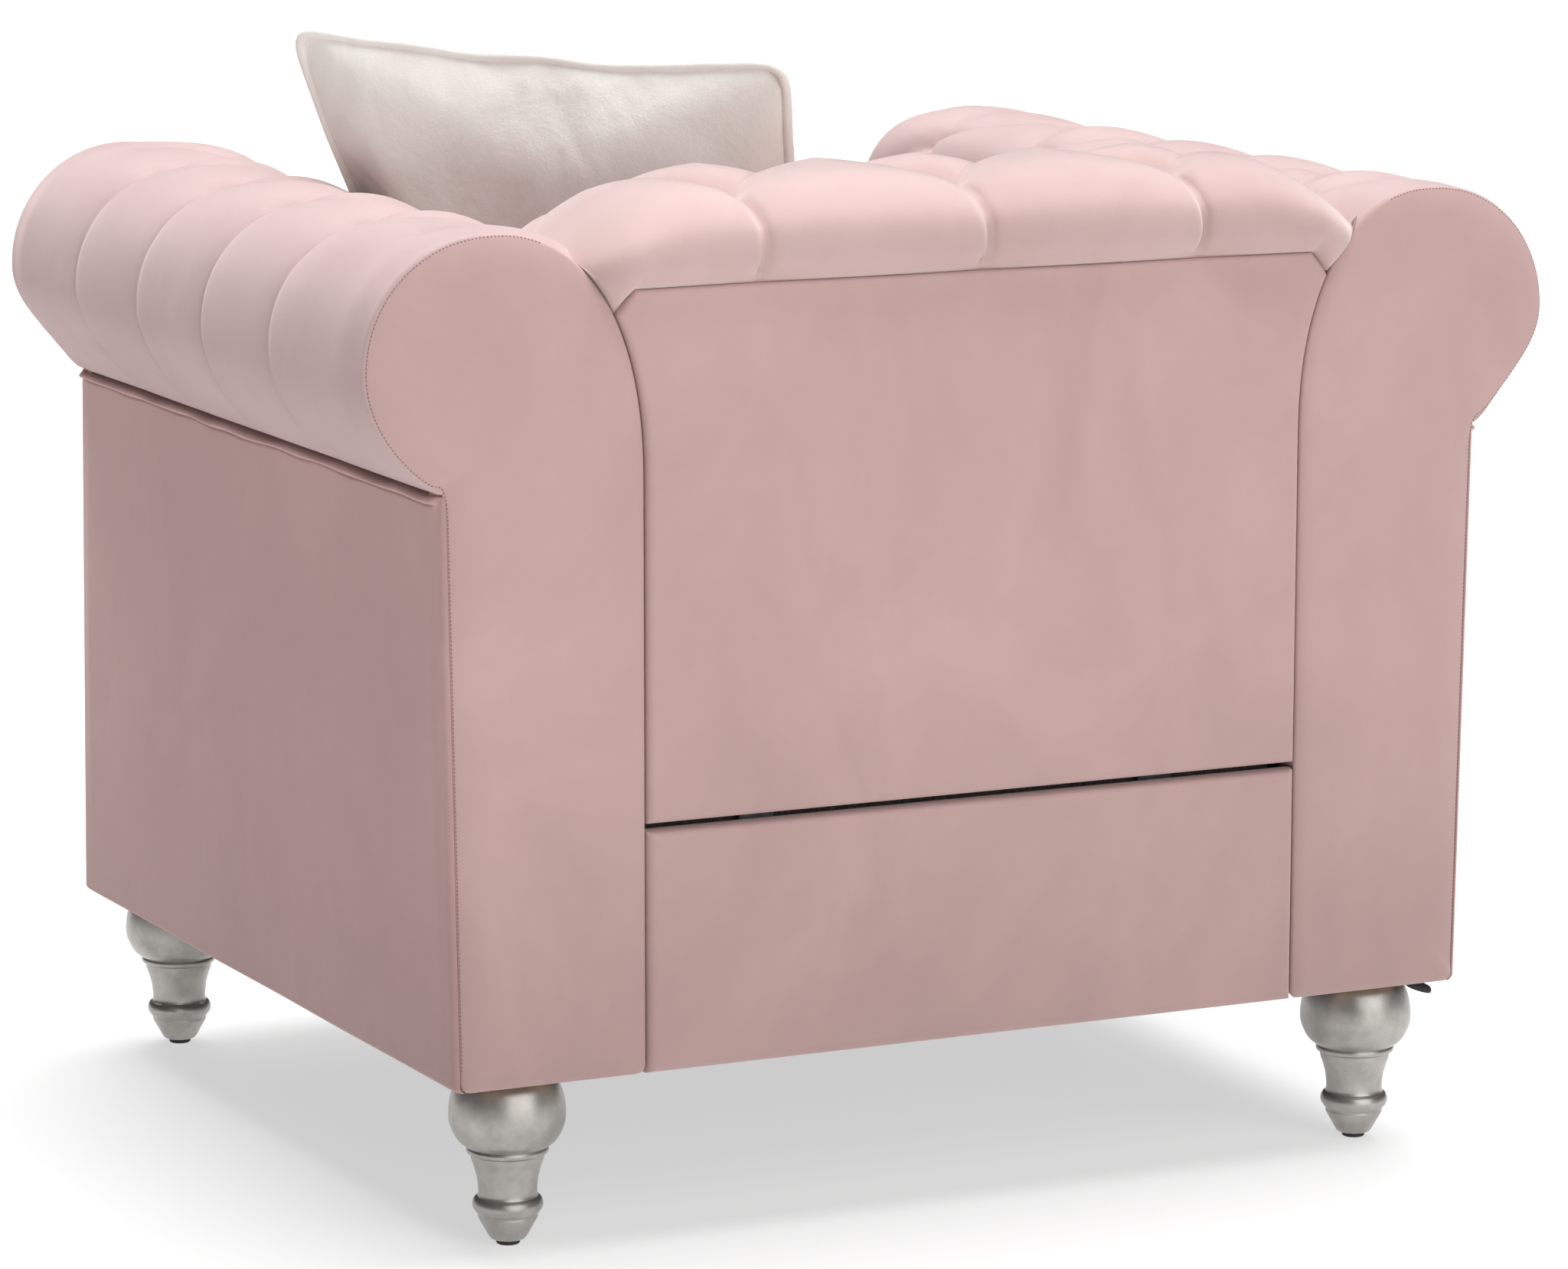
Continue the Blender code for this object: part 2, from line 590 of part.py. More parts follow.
def lift_axis(name, location, parent=None):
    """An empty on the line along which a loose piece lifts off."""
    made = bpy.data.objects.new(name, None)
    made.location = location
    made.empty_display_size = 0.05
    CHAIR.objects.link(made)
    if parent:
        carry(made, parent)
    return made


def carry(obj, parent):
    """Parents an object without moving it."""
    bpy.context.view_layer.update()
    obj.parent = parent
    obj.matrix_parent_inverse = parent.matrix_world.inverted()


legs()
for arm_side, arm_sign in SIDES.items():
    arm(arm_side, arm_sign)
seat_box()
bracket_pockets()
back_unit(lift_axis("back_lift_axis", (0, FRAME_REAR, STRAP_LOW)))
seat_axis = lift_axis("seat_lift_axis", (0, 0, DECK_Z))
seat_cushion(seat_axis)
pillow(lift_axis("pillow_lift_axis", (0.15, 0, SEAT_Z), seat_axis))
bpy.context.view_layer.update()
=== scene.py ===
"""Looks of the rolled-arm tufted armchair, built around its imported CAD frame.

Row frame, metres: +X is the sitter's left, -Y the front, +Z up.
"""

import math

import bmesh
import bpy
import numpy as np
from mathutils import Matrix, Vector


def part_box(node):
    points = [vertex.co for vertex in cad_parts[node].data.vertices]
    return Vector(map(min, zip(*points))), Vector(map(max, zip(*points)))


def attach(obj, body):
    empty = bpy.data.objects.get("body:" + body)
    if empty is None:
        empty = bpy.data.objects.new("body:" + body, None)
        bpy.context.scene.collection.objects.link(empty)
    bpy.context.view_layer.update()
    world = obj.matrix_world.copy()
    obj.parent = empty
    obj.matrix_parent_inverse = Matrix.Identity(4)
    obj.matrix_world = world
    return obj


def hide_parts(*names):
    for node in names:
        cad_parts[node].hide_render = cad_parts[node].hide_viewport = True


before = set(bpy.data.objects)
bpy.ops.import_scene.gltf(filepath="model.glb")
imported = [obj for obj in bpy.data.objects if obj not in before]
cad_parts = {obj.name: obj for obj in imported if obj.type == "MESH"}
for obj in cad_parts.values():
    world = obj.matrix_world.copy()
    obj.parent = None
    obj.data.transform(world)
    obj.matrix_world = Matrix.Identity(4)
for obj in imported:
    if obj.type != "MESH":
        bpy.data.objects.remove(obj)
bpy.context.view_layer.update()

# ---- sizes taken from the frame -----------------------------------------------------------------
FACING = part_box("arm_facing_rear_left")
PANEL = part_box("arm_panel_outside_left")
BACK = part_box("back_pad")
BACK_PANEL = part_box("back_panel_outside")
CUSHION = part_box("seat_cushion")
RAIL_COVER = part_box("seat_cover_rear")
FRONT_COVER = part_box("seat_cover_front")

RAIL_TO_WALL = 0.0125    # the arm's outer wall stands this far outside its top rail
PANEL_DROP = 0.0003      # the outside panel's top lies this far under the roll's neck
SCROLL_POWER = 2.3       # how square the scroll's inner side is; 2 would be an ellipse
ARM_IN = FACING[0].x
ARM_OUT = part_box("arm_top_rail_left")[1].x + RAIL_TO_WALL
NECK_Z = PANEL[1].z + PANEL_DROP
BODY_Z = FACING[0].z
FOOT_OUT = {"front": ARM_OUT + 0.006, "rear": ARM_OUT - 0.008}    # the arm's outer wall at its foot
ROLL_TOP = FACING[1].z
ROLL_R = 0.1025
ROLL_X = FACING[1].x - ROLL_R
ROLL_Z = ROLL_TOP - ROLL_R
REAR_Y = FACING[1].y
END_Y = FACING[0].y
DECK_Z = CUSHION[0].z
SEAM_Z = BACK_PANEL[1].z
SIDES = {"left": 1, "right": -1}
ENDS = {"front": -1, "rear": 1}


# ---- node materials -----------------------------------------------------------------------------
def linear(red, green, blue):
    """Linear values of an 8-bit sRGB colour."""
    out = []
    for channel in (red, green, blue):
        c = channel / 255
        out.append(c / 12.92 if c <= 0.04045 else ((c + 0.055) / 1.055) ** 2.4)
    return (*out, 1.0)


class Nodes:
    """A short way to write a material's node tree."""

    def __init__(self, name):
        self.material = bpy.data.materials.new(name)
        self.material.use_nodes = True
        self.tree = self.material.node_tree
        self.shader = self.tree.nodes["Principled BSDF"]
        self.place = self.add("ShaderNodeTexCoord").outputs["Object"]

    def add(self, kind, **settings):
        node = self.tree.nodes.new(kind)
        for key, value in settings.items():
            setattr(node, key, value)
        return node

    def link(self, output, socket):
        self.tree.links.new(output, socket)

    def stretched(self, scale):
        mapping = self.add("ShaderNodeMapping")
        mapping.inputs["Scale"].default_value = scale
        self.link(self.place, mapping.inputs["Vector"])
        return mapping.outputs["Vector"]

    def noise(self, scale, detail=3.0, rough=0.55, stretch=None, distortion=0.0):
        node = self.add("ShaderNodeTexNoise")
        node.inputs["Scale"].default_value = scale
        node.inputs["Detail"].default_value = detail
        node.inputs["Roughness"].default_value = rough
        node.inputs["Distortion"].default_value = distortion
        self.link(self.stretched(stretch) if stretch else self.place, node.inputs["Vector"])
        return node.outputs["Fac"]

    def ramp(self, factor, stops):
        node = self.add("ShaderNodeValToRGB")
        elements = node.color_ramp.elements
        while len(elements) < len(stops):
            elements.new(0.5)
        for element, (position, colour) in zip(elements, stops):
            element.position = position
            element.color = colour
        self.link(factor, node.inputs["Fac"])
        return node.outputs["Color"]

    def mix(self, factor, first, second, mode="MIX"):
        node = self.add("ShaderNodeMix", data_type="RGBA", blend_type=mode)
        if isinstance(factor, float):
            node.inputs[0].default_value = factor
        else:
            self.link(factor, node.inputs[0])
        for socket, value in ((node.inputs[6], first), (node.inputs[7], second)):
            if isinstance(value, tuple):
                socket.default_value = value
            else:
                self.link(value, socket)
        return node.outputs[2]

    def below(self, start, end, most):
        """Rises from nothing at one height to the most at a lower one."""
        split = self.add("ShaderNodeSeparateXYZ")
        self.link(self.place, split.inputs["Vector"])
        node = self.add("ShaderNodeMapRange")
        for name, value in (("From Min", start), ("From Max", end), ("To Min", 0.0), ("To Max", most)):
            node.inputs[name].default_value = value
        self.link(split.outputs["Z"], node.inputs["Value"])
        return node.outputs["Result"]

    def value_range(self, value, low, high):
        node = self.add("ShaderNodeMapRange")
        node.inputs["To Min"].default_value = low
        node.inputs["To Max"].default_value = high
        self.link(value, node.inputs["Value"])
        return node.outputs["Result"]

    def bump(self, height, distance, strength=1.0, after=None):
        node = self.add("ShaderNodeBump")
        node.inputs["Strength"].default_value = strength
        node.inputs["Distance"].default_value = distance
        self.link(height, node.inputs["Height"])
        if after:
            self.link(after, node.inputs["Normal"])
        return node.outputs["Normal"]

    def done(self, **sockets):
        for name, value in sockets.items():
            socket = self.shader.inputs[name.replace("_", " ")]
            if isinstance(value, bpy.types.NodeSocket):
                self.link(value, socket)
            else:
                socket.default_value = value
        return self.material


PAINTED_SHADE_TOP = 0.46         # painted shade: the velvet's colour darkens from this height down to the body's foot
PAINTED_SHADE_MOST = 0.16


def velvet(name, light, dark, sheen=0.55, shine=linear(255, 236, 232)):
    """Short-pile velvet: brushed patches, fine pile streaks and a soft sheen, with painted shade that
    darkens its colour lower down.
    """
    nodes = Nodes(name)
    patches = nodes.noise(5.5, 4.0, 0.6, (1.0, 1.0, 0.7), 0.6)
    streaks = nodes.noise(70.0, 3.0, 0.6, (1.0, 1.0, 0.25))
    pile = nodes.noise(1500.0, 2.0, 0.7)
    colour = nodes.ramp(patches, [(0.34, dark), (0.66, light)])
    colour = nodes.mix(nodes.value_range(streaks, 0.0, 0.22), colour, dark)
    colour = nodes.mix(nodes.value_range(pile, 0.0, 0.16), colour, light)
    # painted shade: the colour is mixed towards black lower down, standing in for the dimmer light near the
    # floor
    colour = nodes.mix(nodes.below(PAINTED_SHADE_TOP, BODY_Z, PAINTED_SHADE_MOST), colour, (0.0, 0.0, 0.0, 1.0))
    bumps = nodes.bump(nodes.noise(26.0, 3.0, 0.5), 0.0011, 0.30)
    bumps = nodes.bump(pile, 0.0004, 0.45, bumps)
    return nodes.done(
        Base_Color=colour, Roughness=nodes.value_range(patches, 0.66, 0.82), Normal=bumps,
        Sheen_Weight=sheen, Sheen_Roughness=0.42, Sheen_Tint=shine,
        Specular_IOR_Level=0.22)


def plush():
    """Ivory short plush with brushed marks."""
    nodes = Nodes("ivory_plush")
    brushed = nodes.noise(10.0, 5.0, 0.62, (1.0, 1.0, 0.8), 0.7)
    crushed = nodes.noise(34.0, 4.0, 0.60, None, 0.6)
    tufts = nodes.noise(520.0, 3.0, 0.7, None, 0.6)
    colour = nodes.ramp(brushed, [(0.36, linear(231, 226, 221)), (0.62, linear(244, 242, 239))])
    colour = nodes.mix(nodes.value_range(crushed, 0.0, 0.30), colour, linear(232, 223, 213))
    colour = nodes.mix(nodes.value_range(tufts, 0.0, 0.20), colour, linear(226, 219, 211))
    bumps = nodes.bump(brushed, 0.0060, 0.35)
    bumps = nodes.bump(crushed, 0.0026, 0.40, bumps)
    bumps = nodes.bump(tufts, 0.0012, 0.40, bumps)
    return nodes.done(
        Base_Color=colour, Roughness=0.95, Normal=bumps, Sheen_Weight=0.6, Sheen_Roughness=0.5,
        Sheen_Tint=linear(255, 250, 244), Specular_IOR_Level=0.1)


def silver():
    """Satin pewter paint over turned wood: faint mottling and fine darker brush streaks."""
    nodes = Nodes("satin_silver")
    mottle = nodes.noise(38.0, 4.0, 0.6)
    brush = nodes.noise(260.0, 3.0, 0.6, (1.0, 1.0, 7.0))
    colour = nodes.ramp(mottle, [(0.30, linear(155, 151, 146)), (0.70, linear(191, 187, 182))])
    colour = nodes.mix(nodes.value_range(brush, 0.0, 0.20), colour, linear(128, 123, 118))
    bumps = nodes.bump(brush, 0.00022, 0.5)
    return nodes.done(
        Base_Color=colour, Metallic=0.82, Roughness=nodes.value_range(mottle, 0.30, 0.42),
        Normal=bumps, Coat_Weight=0.18, Coat_Roughness=0.25)


def plain(name, light, dark, rough, metallic=0.0, scale=60.0, stretch=None, depth=0.0003):
    """A simple two-tone surface for frame pieces, from the same noise for colour and relief."""
    nodes = Nodes(name)
    grain = nodes.noise(scale, 4.0, 0.6, stretch, 0.4)
    colour = nodes.ramp(grain, [(0.32, dark), (0.68, light)])
    return nodes.done(
        Base_Color=colour, Metallic=metallic, Roughness=nodes.value_range(grain, rough, rough + 0.12),
        Normal=nodes.bump(grain, depth, 0.6))


def cambric():
    """Black non-woven cloth with its pattern of pressed dots."""
    nodes = Nodes("black_cambric")
    cells = nodes.add("ShaderNodeTexVoronoi")
    cells.inputs["Scale"].default_value = 700.0
    nodes.link(nodes.place, cells.inputs["Vector"])
    dots = cells.outputs["Distance"]
    colour = nodes.ramp(dots, [(0.0, linear(30, 30, 33)), (0.6, linear(52, 52, 56))])
    return nodes.done(Base_Color=colour, Roughness=0.92, Normal=nodes.bump(dots, 0.0004, 0.6))


VELVET = velvet("blush_velvet", linear(194, 163, 159), linear(181, 151, 148))
# painted sheen: a lighter, paler copy of the velvet for the tufted covers, standing in for the light their
# pile catches
SHEEN_PAINTED_TUFTED_VELVET = velvet("blush_velvet_tufted_painted_sheen", linear(195, 171, 170), linear(183, 158, 157))
# painted shade: a darker, more mauve copy of the velvet for the outside arm panels, standing in for their
# side lying in shade
SHADE_PAINTED_SIDE_VELVET = velvet("blush_velvet_side_painted_shade", linear(194, 158, 155), linear(181, 146, 144))
# painted sheen: a lighter, paler copy of the velvet for the back, standing in for the whiter highlights on
# its roll
SHEEN_PAINTED_BACK_VELVET = velvet("blush_velvet_back_painted_sheen", linear(199, 171, 168), linear(187, 158, 155), sheen=0.95,
                     shine=linear(255, 250, 248))
# partly painted shade: the stitches are real thread, coloured darker than the velvet to stand in for the
# shade in their pulled holes
THREAD_WITH_HOLE_SHADE = plain("pink_thread_painted_hole_shade", linear(150, 104, 104), linear(118, 78, 80), 0.7, scale=900.0)
PLUSH = plush()
SILVER = silver()
CAMBRIC = cambric()
PLYWOOD = plain("plywood", linear(205, 176, 136), linear(160, 126, 88), 0.62, scale=22.0,
                stretch=(1.0, 0.12, 1.0))
ZINC = plain("zinc_steel", linear(190, 192, 194), linear(150, 152, 156), 0.32, 1.0, 90.0)
BLACK_STEEL = plain("black_steel", linear(44, 44, 46), linear(28, 28, 30), 0.42, 0.6, 300.0)
BLACK_PLASTIC = plain("glide_plastic", linear(34, 34, 35), linear(20, 20, 21), 0.5, 0.0, 500.0)
FELT = plain("deck_felt", linear(140, 134, 128), linear(104, 98, 94), 0.9, 0.0, 320.0, None, 0.001)


# ---- mesh helpers -------------------------------------------------------------------------------
def piece(name, vertices, faces, material, body, smooth=60):
    """A finished piece that rides on a CAD body."""
    mesh = bpy.data.meshes.new(name)
    mesh.from_pydata([tuple(v) for v in vertices], [], faces)
    bm = bmesh.new()
    bm.from_mesh(mesh)
    bmesh.ops.remove_doubles(bm, verts=bm.verts, dist=0.00005)
    bmesh.ops.recalc_face_normals(bm, faces=bm.faces)
    bm.to_mesh(mesh)
    bm.free()
    mesh.materials.append(material)
    mesh.shade_smooth()
    if smooth:
        mesh.set_sharp_from_angle(angle=math.radians(smooth))
    made = bpy.data.objects.new(name, mesh)
    bpy.context.scene.collection.objects.link(made)
    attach(made, body)
    return made


def ring_faces(rows, count, capped=True, first=0):
    """Quads between successive closed rings of the same length, and a face on each end."""
    faces = []
    last = first + (rows - 1) * count
    for base in range(first, last, count):
        for i in range(count):
            j = (i + 1) % count
            faces.append((base + i, base + j, base + count + j, base + count + i))
    if capped:
        faces.append(tuple(range(first, first + count)))
        faces.append(tuple(range(last, last + count)))
    return faces


def mesh_points(mesh):
    return np.array([tuple(v.co) for v in mesh.vertices])


def move_points(mesh, places):
    for vertex, co in zip(mesh.vertices, places):
        vertex.co = co


def subdivide(obj, name, levels):
    modifier = obj.modifiers.new(name, "SUBSURF")
    modifier.levels = levels
    modifier.render_levels = levels


def distances(points):
    """How far along a polyline each of its points is."""
    steps = np.linalg.norm(np.diff(points, axis=0), axis=1)
    return np.concatenate([[0], np.cumsum(steps)])


def square_path(count):
    """(s, t) points round a square from -1 to 1, with a count of steps on each side."""
    steps = np.linspace(-1, 1, count + 1)[:-1]
    return ([(a, -1.0) for a in steps] + [(1.0, a) for a in steps]
            + [(-a, 1.0) for a in steps] + [(-1.0, -a) for a in steps])


def eased(path, times):
    """A closed path with its corners smoothed."""
    for _ in range(times):
        path = (np.roll(path, 1, axis=0) + 2 * path + np.roll(path, -1, axis=0)) / 4
    return path


def smoothstep(low, high, value):
    t = np.clip((value - low) / (high - low), 0, 1)
    return t * t * (3 - 2 * t)


WAVE_TERMS = 6


def waves(seed, *axes, scale=1.0):
    """Smooth seeded unevenness from -1 to 1 over one or two coordinates, in metres."""
    rng = np.random.default_rng(seed)
    total = 0
    for _ in range(WAVE_TERMS):
        phase = rng.uniform(0, 2 * math.pi)
        angle = phase
        for axis in axes:
            angle = angle + axis * rng.uniform(-1, 1) * 2 * math.pi / scale
        total = total + np.sin(angle)
    return total / WAVE_TERMS


def resampled(points, count):
    """Points of a polyline at equal steps along it, with their outward normals and arc lengths."""
    points = np.array(points, float)
    along = distances(points)
    at = np.linspace(0, along[-1], count)
    line = np.stack([np.interp(at, along, points[:, i]) for i in (0, 1)], 1)
    for _ in range(3):
        line[1:-1] = 0.25 * line[:-2] + 0.5 * line[1:-1] + 0.25 * line[2:]
    slope = np.gradient(line, axis=0)
    slope /= np.linalg.norm(slope, axis=1)[:, None]
    normals = np.stack([slope[:, 1], -slope[:, 0]], 1)
    return line, normals, at


# ---- the arm's outline --------------------------------------------------------------------------
def arc(centre, radius, start, end, count):
    angles = np.radians(np.linspace(start, end, count))
    return [(centre[0] + radius * math.cos(a), centre[1] + radius * math.sin(a)) for a in angles]


SLUMP_RISES = (2, 38)    # degrees under the roll's level middle between which its sag sets in
SLUMP_FALLS = (42, 66)   # and between which some of it goes again
SLUMP_LOSS = 0.7
SAG_LEAST = 0.0020
SAG_MORE = 0.0060        # added towards one end of each arm
SAG_FROM = -0.10
SCROLL_STEPS = 40
NECK_TURN = -62          # degrees round the roll at which it meets the neck


def slump(degrees):
    """How much of an arm's sag the roll takes at an angle round it, most below its outer side."""
    return smoothstep(*SLUMP_RISES, -degrees) * (1 - SLUMP_LOSS * smoothstep(*SLUMP_FALLS, -degrees))


def sag(sign, y):
    """How far the roll has settled under its outer side: the left arm in front, the right one behind."""
    return SAG_LEAST + SAG_MORE * smoothstep(SAG_FROM, REAR_Y, -sign * y)


def scroll(flat=0.0):
    """From the neck outside, round the roll and over it, to the inner wall, as (x, z)."""
    outer = []
    for degrees in np.linspace(NECK_TURN, 90, SCROLL_STEPS):
        radius = ROLL_R - flat * slump(degrees)
        turn = math.radians(degrees)
        outer.append((ROLL_X + radius * math.cos(turn), ROLL_Z + radius * math.sin(turn)))
    wide = ROLL_X - ARM_IN
    tall = ROLL_TOP - NECK_Z
    power = 2 / SCROLL_POWER
    inner = []
    for turn in np.radians(np.linspace(90, 0, SCROLL_STEPS))[1:]:
        inner.append((ROLL_X - wide * math.cos(turn) ** power, NECK_Z + tall * abs(math.sin(turn)) ** power))
    return [(ARM_OUT, NECK_Z)] + outer + inner


def arm_top_z(x):
    """Height of the arm's inner slope at a distance from the chair's middle."""
    wide = ROLL_X - ARM_IN
    across = np.clip((ROLL_X - np.abs(x)) / wide, 0, 1)
    return NECK_Z + (ROLL_TOP - NECK_Z) * (1 - across ** SCROLL_POWER) ** (1 / SCROLL_POWER)


# ---- tufting ------------------------------------------------------------------------------------
FOLD_SHARPNESS = 0.62    # under 1, a fold drops in a crease; at 1, it would be a round valley
WANDER = 0.0022          # how far the folds stray from straight, and their finer straying
WANDER_FINE = 0.0012
PIT_DEEP = 0.0050        # the extra pull of each button
PIT_SPREAD = 0.13
PIT_REACH = 0.012
LAP_DEEP = 0.0016        # a pleat's fabric is folded to one side of its line
LAP_WIDE = 0.016
LINE_WIDE = 0.0026
PLEAT_START = 0.02


class Tufting:
    """Diamond tufting over a skin: u runs along it, v across it from its outer seam.

    Buttons stand in rows from first_row, each row half a pitch along from the last. Outside the rows
    the creases run on as straight pleats, which keep the share pleat of their depth after the fade.
    A fold is mid deep between buttons and deep at them; crease is the depth of a pleat's thin line.
    """

    def __init__(self, pitch, u_start, first_row, spacing, rows, deep, mid, pleat, fade, crease=0.0):
        self.pitch, self.u_start = pitch, u_start
        self.first_row, self.spacing, self.rows = first_row, spacing, rows
        self.deep, self.mid, self.pleat, self.fade, self.crease = deep, mid, pleat, fade, crease

    def relief(self, u, v, seed=1):
        """Depth under the skin's fullest level at (u, v), with folds and small gathers."""
        u = u + WANDER * waves(seed, v, scale=0.11) + WANDER_FINE * waves(seed + 5, v, u, scale=0.05)
        x = (u - self.u_start) / self.pitch
        last_row = self.first_row + self.spacing * (self.rows - 1)
        w = (np.clip(v, self.first_row, last_row) - self.first_row) / (2 * self.spacing)
        a, b = x + w, x - w
        near_a, near_b = np.abs(np.sin(np.pi * a)), np.abs(np.sin(np.pi * b))
        depth_a = (1 - near_a ** FOLD_SHARPNESS) * (self.mid + (self.deep - self.mid) * (1 - near_b) ** 2)
        depth_b = (1 - near_b ** FOLD_SHARPNESS) * (self.mid + (self.deep - self.mid) * (1 - near_a) ** 2)
        depth = np.maximum(depth_a, depth_b)
        beyond = np.maximum(self.first_row - v, 0) + np.maximum(v - last_row, 0)
        kept = self.pleat + (1 - self.pleat) * np.exp(-beyond / self.fade)
        depth = depth * kept
        pit_u = np.sin(np.pi * (x - w)) ** 2 + np.sin(np.pi * (x + w)) ** 2
        in_rows = np.exp(-(beyond / PIT_REACH) ** 2)
        depth = depth + PIT_DEEP * np.exp(-pit_u / PIT_SPREAD) * in_rows
        side = x - np.round(x)
        straight = smoothstep(0.0, PLEAT_START, beyond)
        lap = np.where(side > 0, np.exp(-side * self.pitch / LAP_WIDE), 0.0) * straight
        line = self.crease * np.exp(-np.abs(side) * self.pitch / LINE_WIDE) * straight
        return depth + line - LAP_DEEP * lap

    def buttons(self, u_low, u_high):
        """(u, v) of each button between two ends."""
        found = []
        for row in range(self.rows):
            v = self.first_row + row * self.spacing
            shift = 0.5 * (row % 2)
            first = math.ceil((u_low - self.u_start) / self.pitch - shift)
            last = math.floor((u_high - self.u_start) / self.pitch - shift)
            found += [(self.u_start + (i + shift) * self.pitch, v) for i in range(first, last + 1)]
        return found


BUTTON_PROFILE = [(0.0, 0.0050), (0.0035, 0.0047), (0.0068, 0.0036), (0.0092, 0.0018), (0.0102, -0.0008),
                  (0.0097, -0.0034), (0.0075, -0.0050), (0.0, -0.0055)]
BUTTON_TURNS = 20


def button_mesh(places, name, body, material):
    """Covered buttons, domed and a little flattened, each facing along its normal."""
    vertices, faces = [], []
    for centre, normal in places:
        turn = Vector(normal).to_track_quat("Z", "Y").to_matrix()
        base = len(vertices)
        for radius, height in BUTTON_PROFILE:
            for i in range(BUTTON_TURNS):
                angle = 2 * math.pi * i / BUTTON_TURNS
                local = Vector((radius * math.cos(angle), radius * math.sin(angle), height))
                vertices.append(Vector(centre) + turn @ local)
        faces += ring_faces(len(BUTTON_PROFILE), BUTTON_TURNS, capped=False, first=base)
    return piece(name, vertices, faces, material, body, smooth=0)


# ---- arms ---------------------------------------------------------------------------------------
ARM_TUFTS = Tufting(pitch=0.1517, u_start=-0.2357, first_row=0.264, spacing=0.112, rows=4,
                    deep=0.021, mid=0.0105, pleat=0.15, fade=0.034, crease=0.0010)
ARM_BUTTONS_END = 0.33
ARM_GRID = 270           # points along and across the arm's skin
ARM_CREST = 0.275        # distance along the skin from its seam under the roll to the crest
SEAM_DEPTH = 0.0066      # the facings' seams lie this far behind the fullest face
SEAM_Y = REAR_Y - SEAM_DEPTH
STRIP = 0.0048           # the outside panel's turned edge beside a facing's outer seam


def arm_skin(seed, sign):
    """Outward points of the arm's tufted skin as (y, v, x, z) grids, with the outline's normals."""
    lip = [(ARM_OUT - 0.0080, NECK_Z + 0.0006), (ARM_OUT - 0.0030, NECK_Z + 0.0002),
           (ARM_OUT + 0.0012, NECK_Z + 0.0008), (ARM_OUT + 0.0048, NECK_Z + 0.0042)]
    wall = [(ARM_IN, NECK_Z - 0.001), (ARM_IN, DECK_Z - 0.004)]
    line, normals, v = resampled(lip + scroll()[1:] + wall, ARM_GRID)
    y = np.linspace(-SEAM_Y, SEAM_Y, ARM_GRID)
    u, across = np.meshgrid(y, v, indexing="ij")
    relief = ARM_TUFTS.relief(u, across, seed) * smoothstep(0.045, 0.105, SEAM_Y - np.abs(u))
    inside = smoothstep(0.002, 0.042, SEAM_Y - np.abs(u))
    begin = smoothstep(0.004, 0.040, across)
    full = 0.0034 - 0.0020 * np.exp(-((across - ARM_CREST) / 0.030) ** 2)
    full = full + 0.0095 * smoothstep(ARM_CREST + 0.035, ARM_CREST + 0.110, across)
    full = full - 0.0055 * smoothstep(ARM_CREST + 0.20, ARM_CREST + 0.34, across)
    height = (full - relief) * inside * begin
    height += 0.0005 * waves(seed + 1, u, across, scale=0.16) * inside
    turned = np.degrees(np.arctan2(line[:, 1] - ROLL_Z, line[:, 0] - ROLL_X))
    settled = np.where(line[:, 0] > ARM_OUT + 0.0045, slump(turned), 0.0)
    settled = settled * smoothstep(0.0, 0.02, line[:, 0] - ARM_OUT)
    height = height - sag(sign, y)[:, None] * settled[None, :]
    behind = smoothstep(0.180, 0.212, u) * smoothstep(ARM_CREST + 0.12, ARM_CREST + 0.16, across)
    height = height * (1 - behind) - 0.0010 * behind
    front_puff = smoothstep(0.18, 0.33, -u) * smoothstep(0.0, 0.035, SEAM_Y - np.abs(u))
    height += 0.017 * front_puff * np.exp(-((across - ARM_CREST - 0.125) / 0.052) ** 2)
    height -= 0.0016 * (1 - np.clip((SEAM_Y - np.abs(u)) / 0.0022, 0, 1)) ** 2
    x = line[:, 0][None, :] + normals[:, 0][None, :] * height
    z = line[:, 1][None, :] + normals[:, 1][None, :] * height
    return y, v, x, z, normals


def arm_cover(side, sign):
    """The tufted skin over the roll and down the inside of an arm, closed round its frame."""
    y, v, x, z, normals = arm_skin(11 if sign > 0 else 23, sign)
    skin = np.stack([sign * x, np.broadcast_to(y[:, None], x.shape), z], -1)
    core = [(ARM_IN + 0.046, DECK_Z - 0.004), (ARM_IN + 0.046, NECK_Z + 0.0006),
            (ARM_OUT - 0.010, NECK_Z + 0.0006)]
    core = np.array([[[sign * px, yy, pz] for px, pz in core] for yy in y])
    rings = np.concatenate([skin, core], 1)
    made = piece(f"arm_cover_{side}", rings.reshape(-1, 3), ring_faces(len(y), rings.shape[1]),
                 SHEEN_PAINTED_TUFTED_VELVET, "chair", smooth=0)
    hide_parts(f"arm_pad_{side}")

    places = []
    for bu, bv in ARM_TUFTS.buttons(-ARM_BUTTONS_END, ARM_BUTTONS_END):
        if bu > BACK[0].y - 0.03 and bv > 0.40:    # behind the back unit
            continue
        i = int(np.argmin(np.abs(y - bu)))
        j = int(np.argmin(np.abs(v - bv)))
        normal = Vector((sign * normals[j, 0], 0, normals[j, 1]))
        places.append((Vector(skin[i, j]) + normal * 0.0030, normal))
    button_mesh(places, f"arm_buttons_{side}", "chair", SHEEN_PAINTED_TUFTED_VELVET)


FACING_POINTS = 420
FACING_CORNER = 0.007    # radius of a facing's lower corners


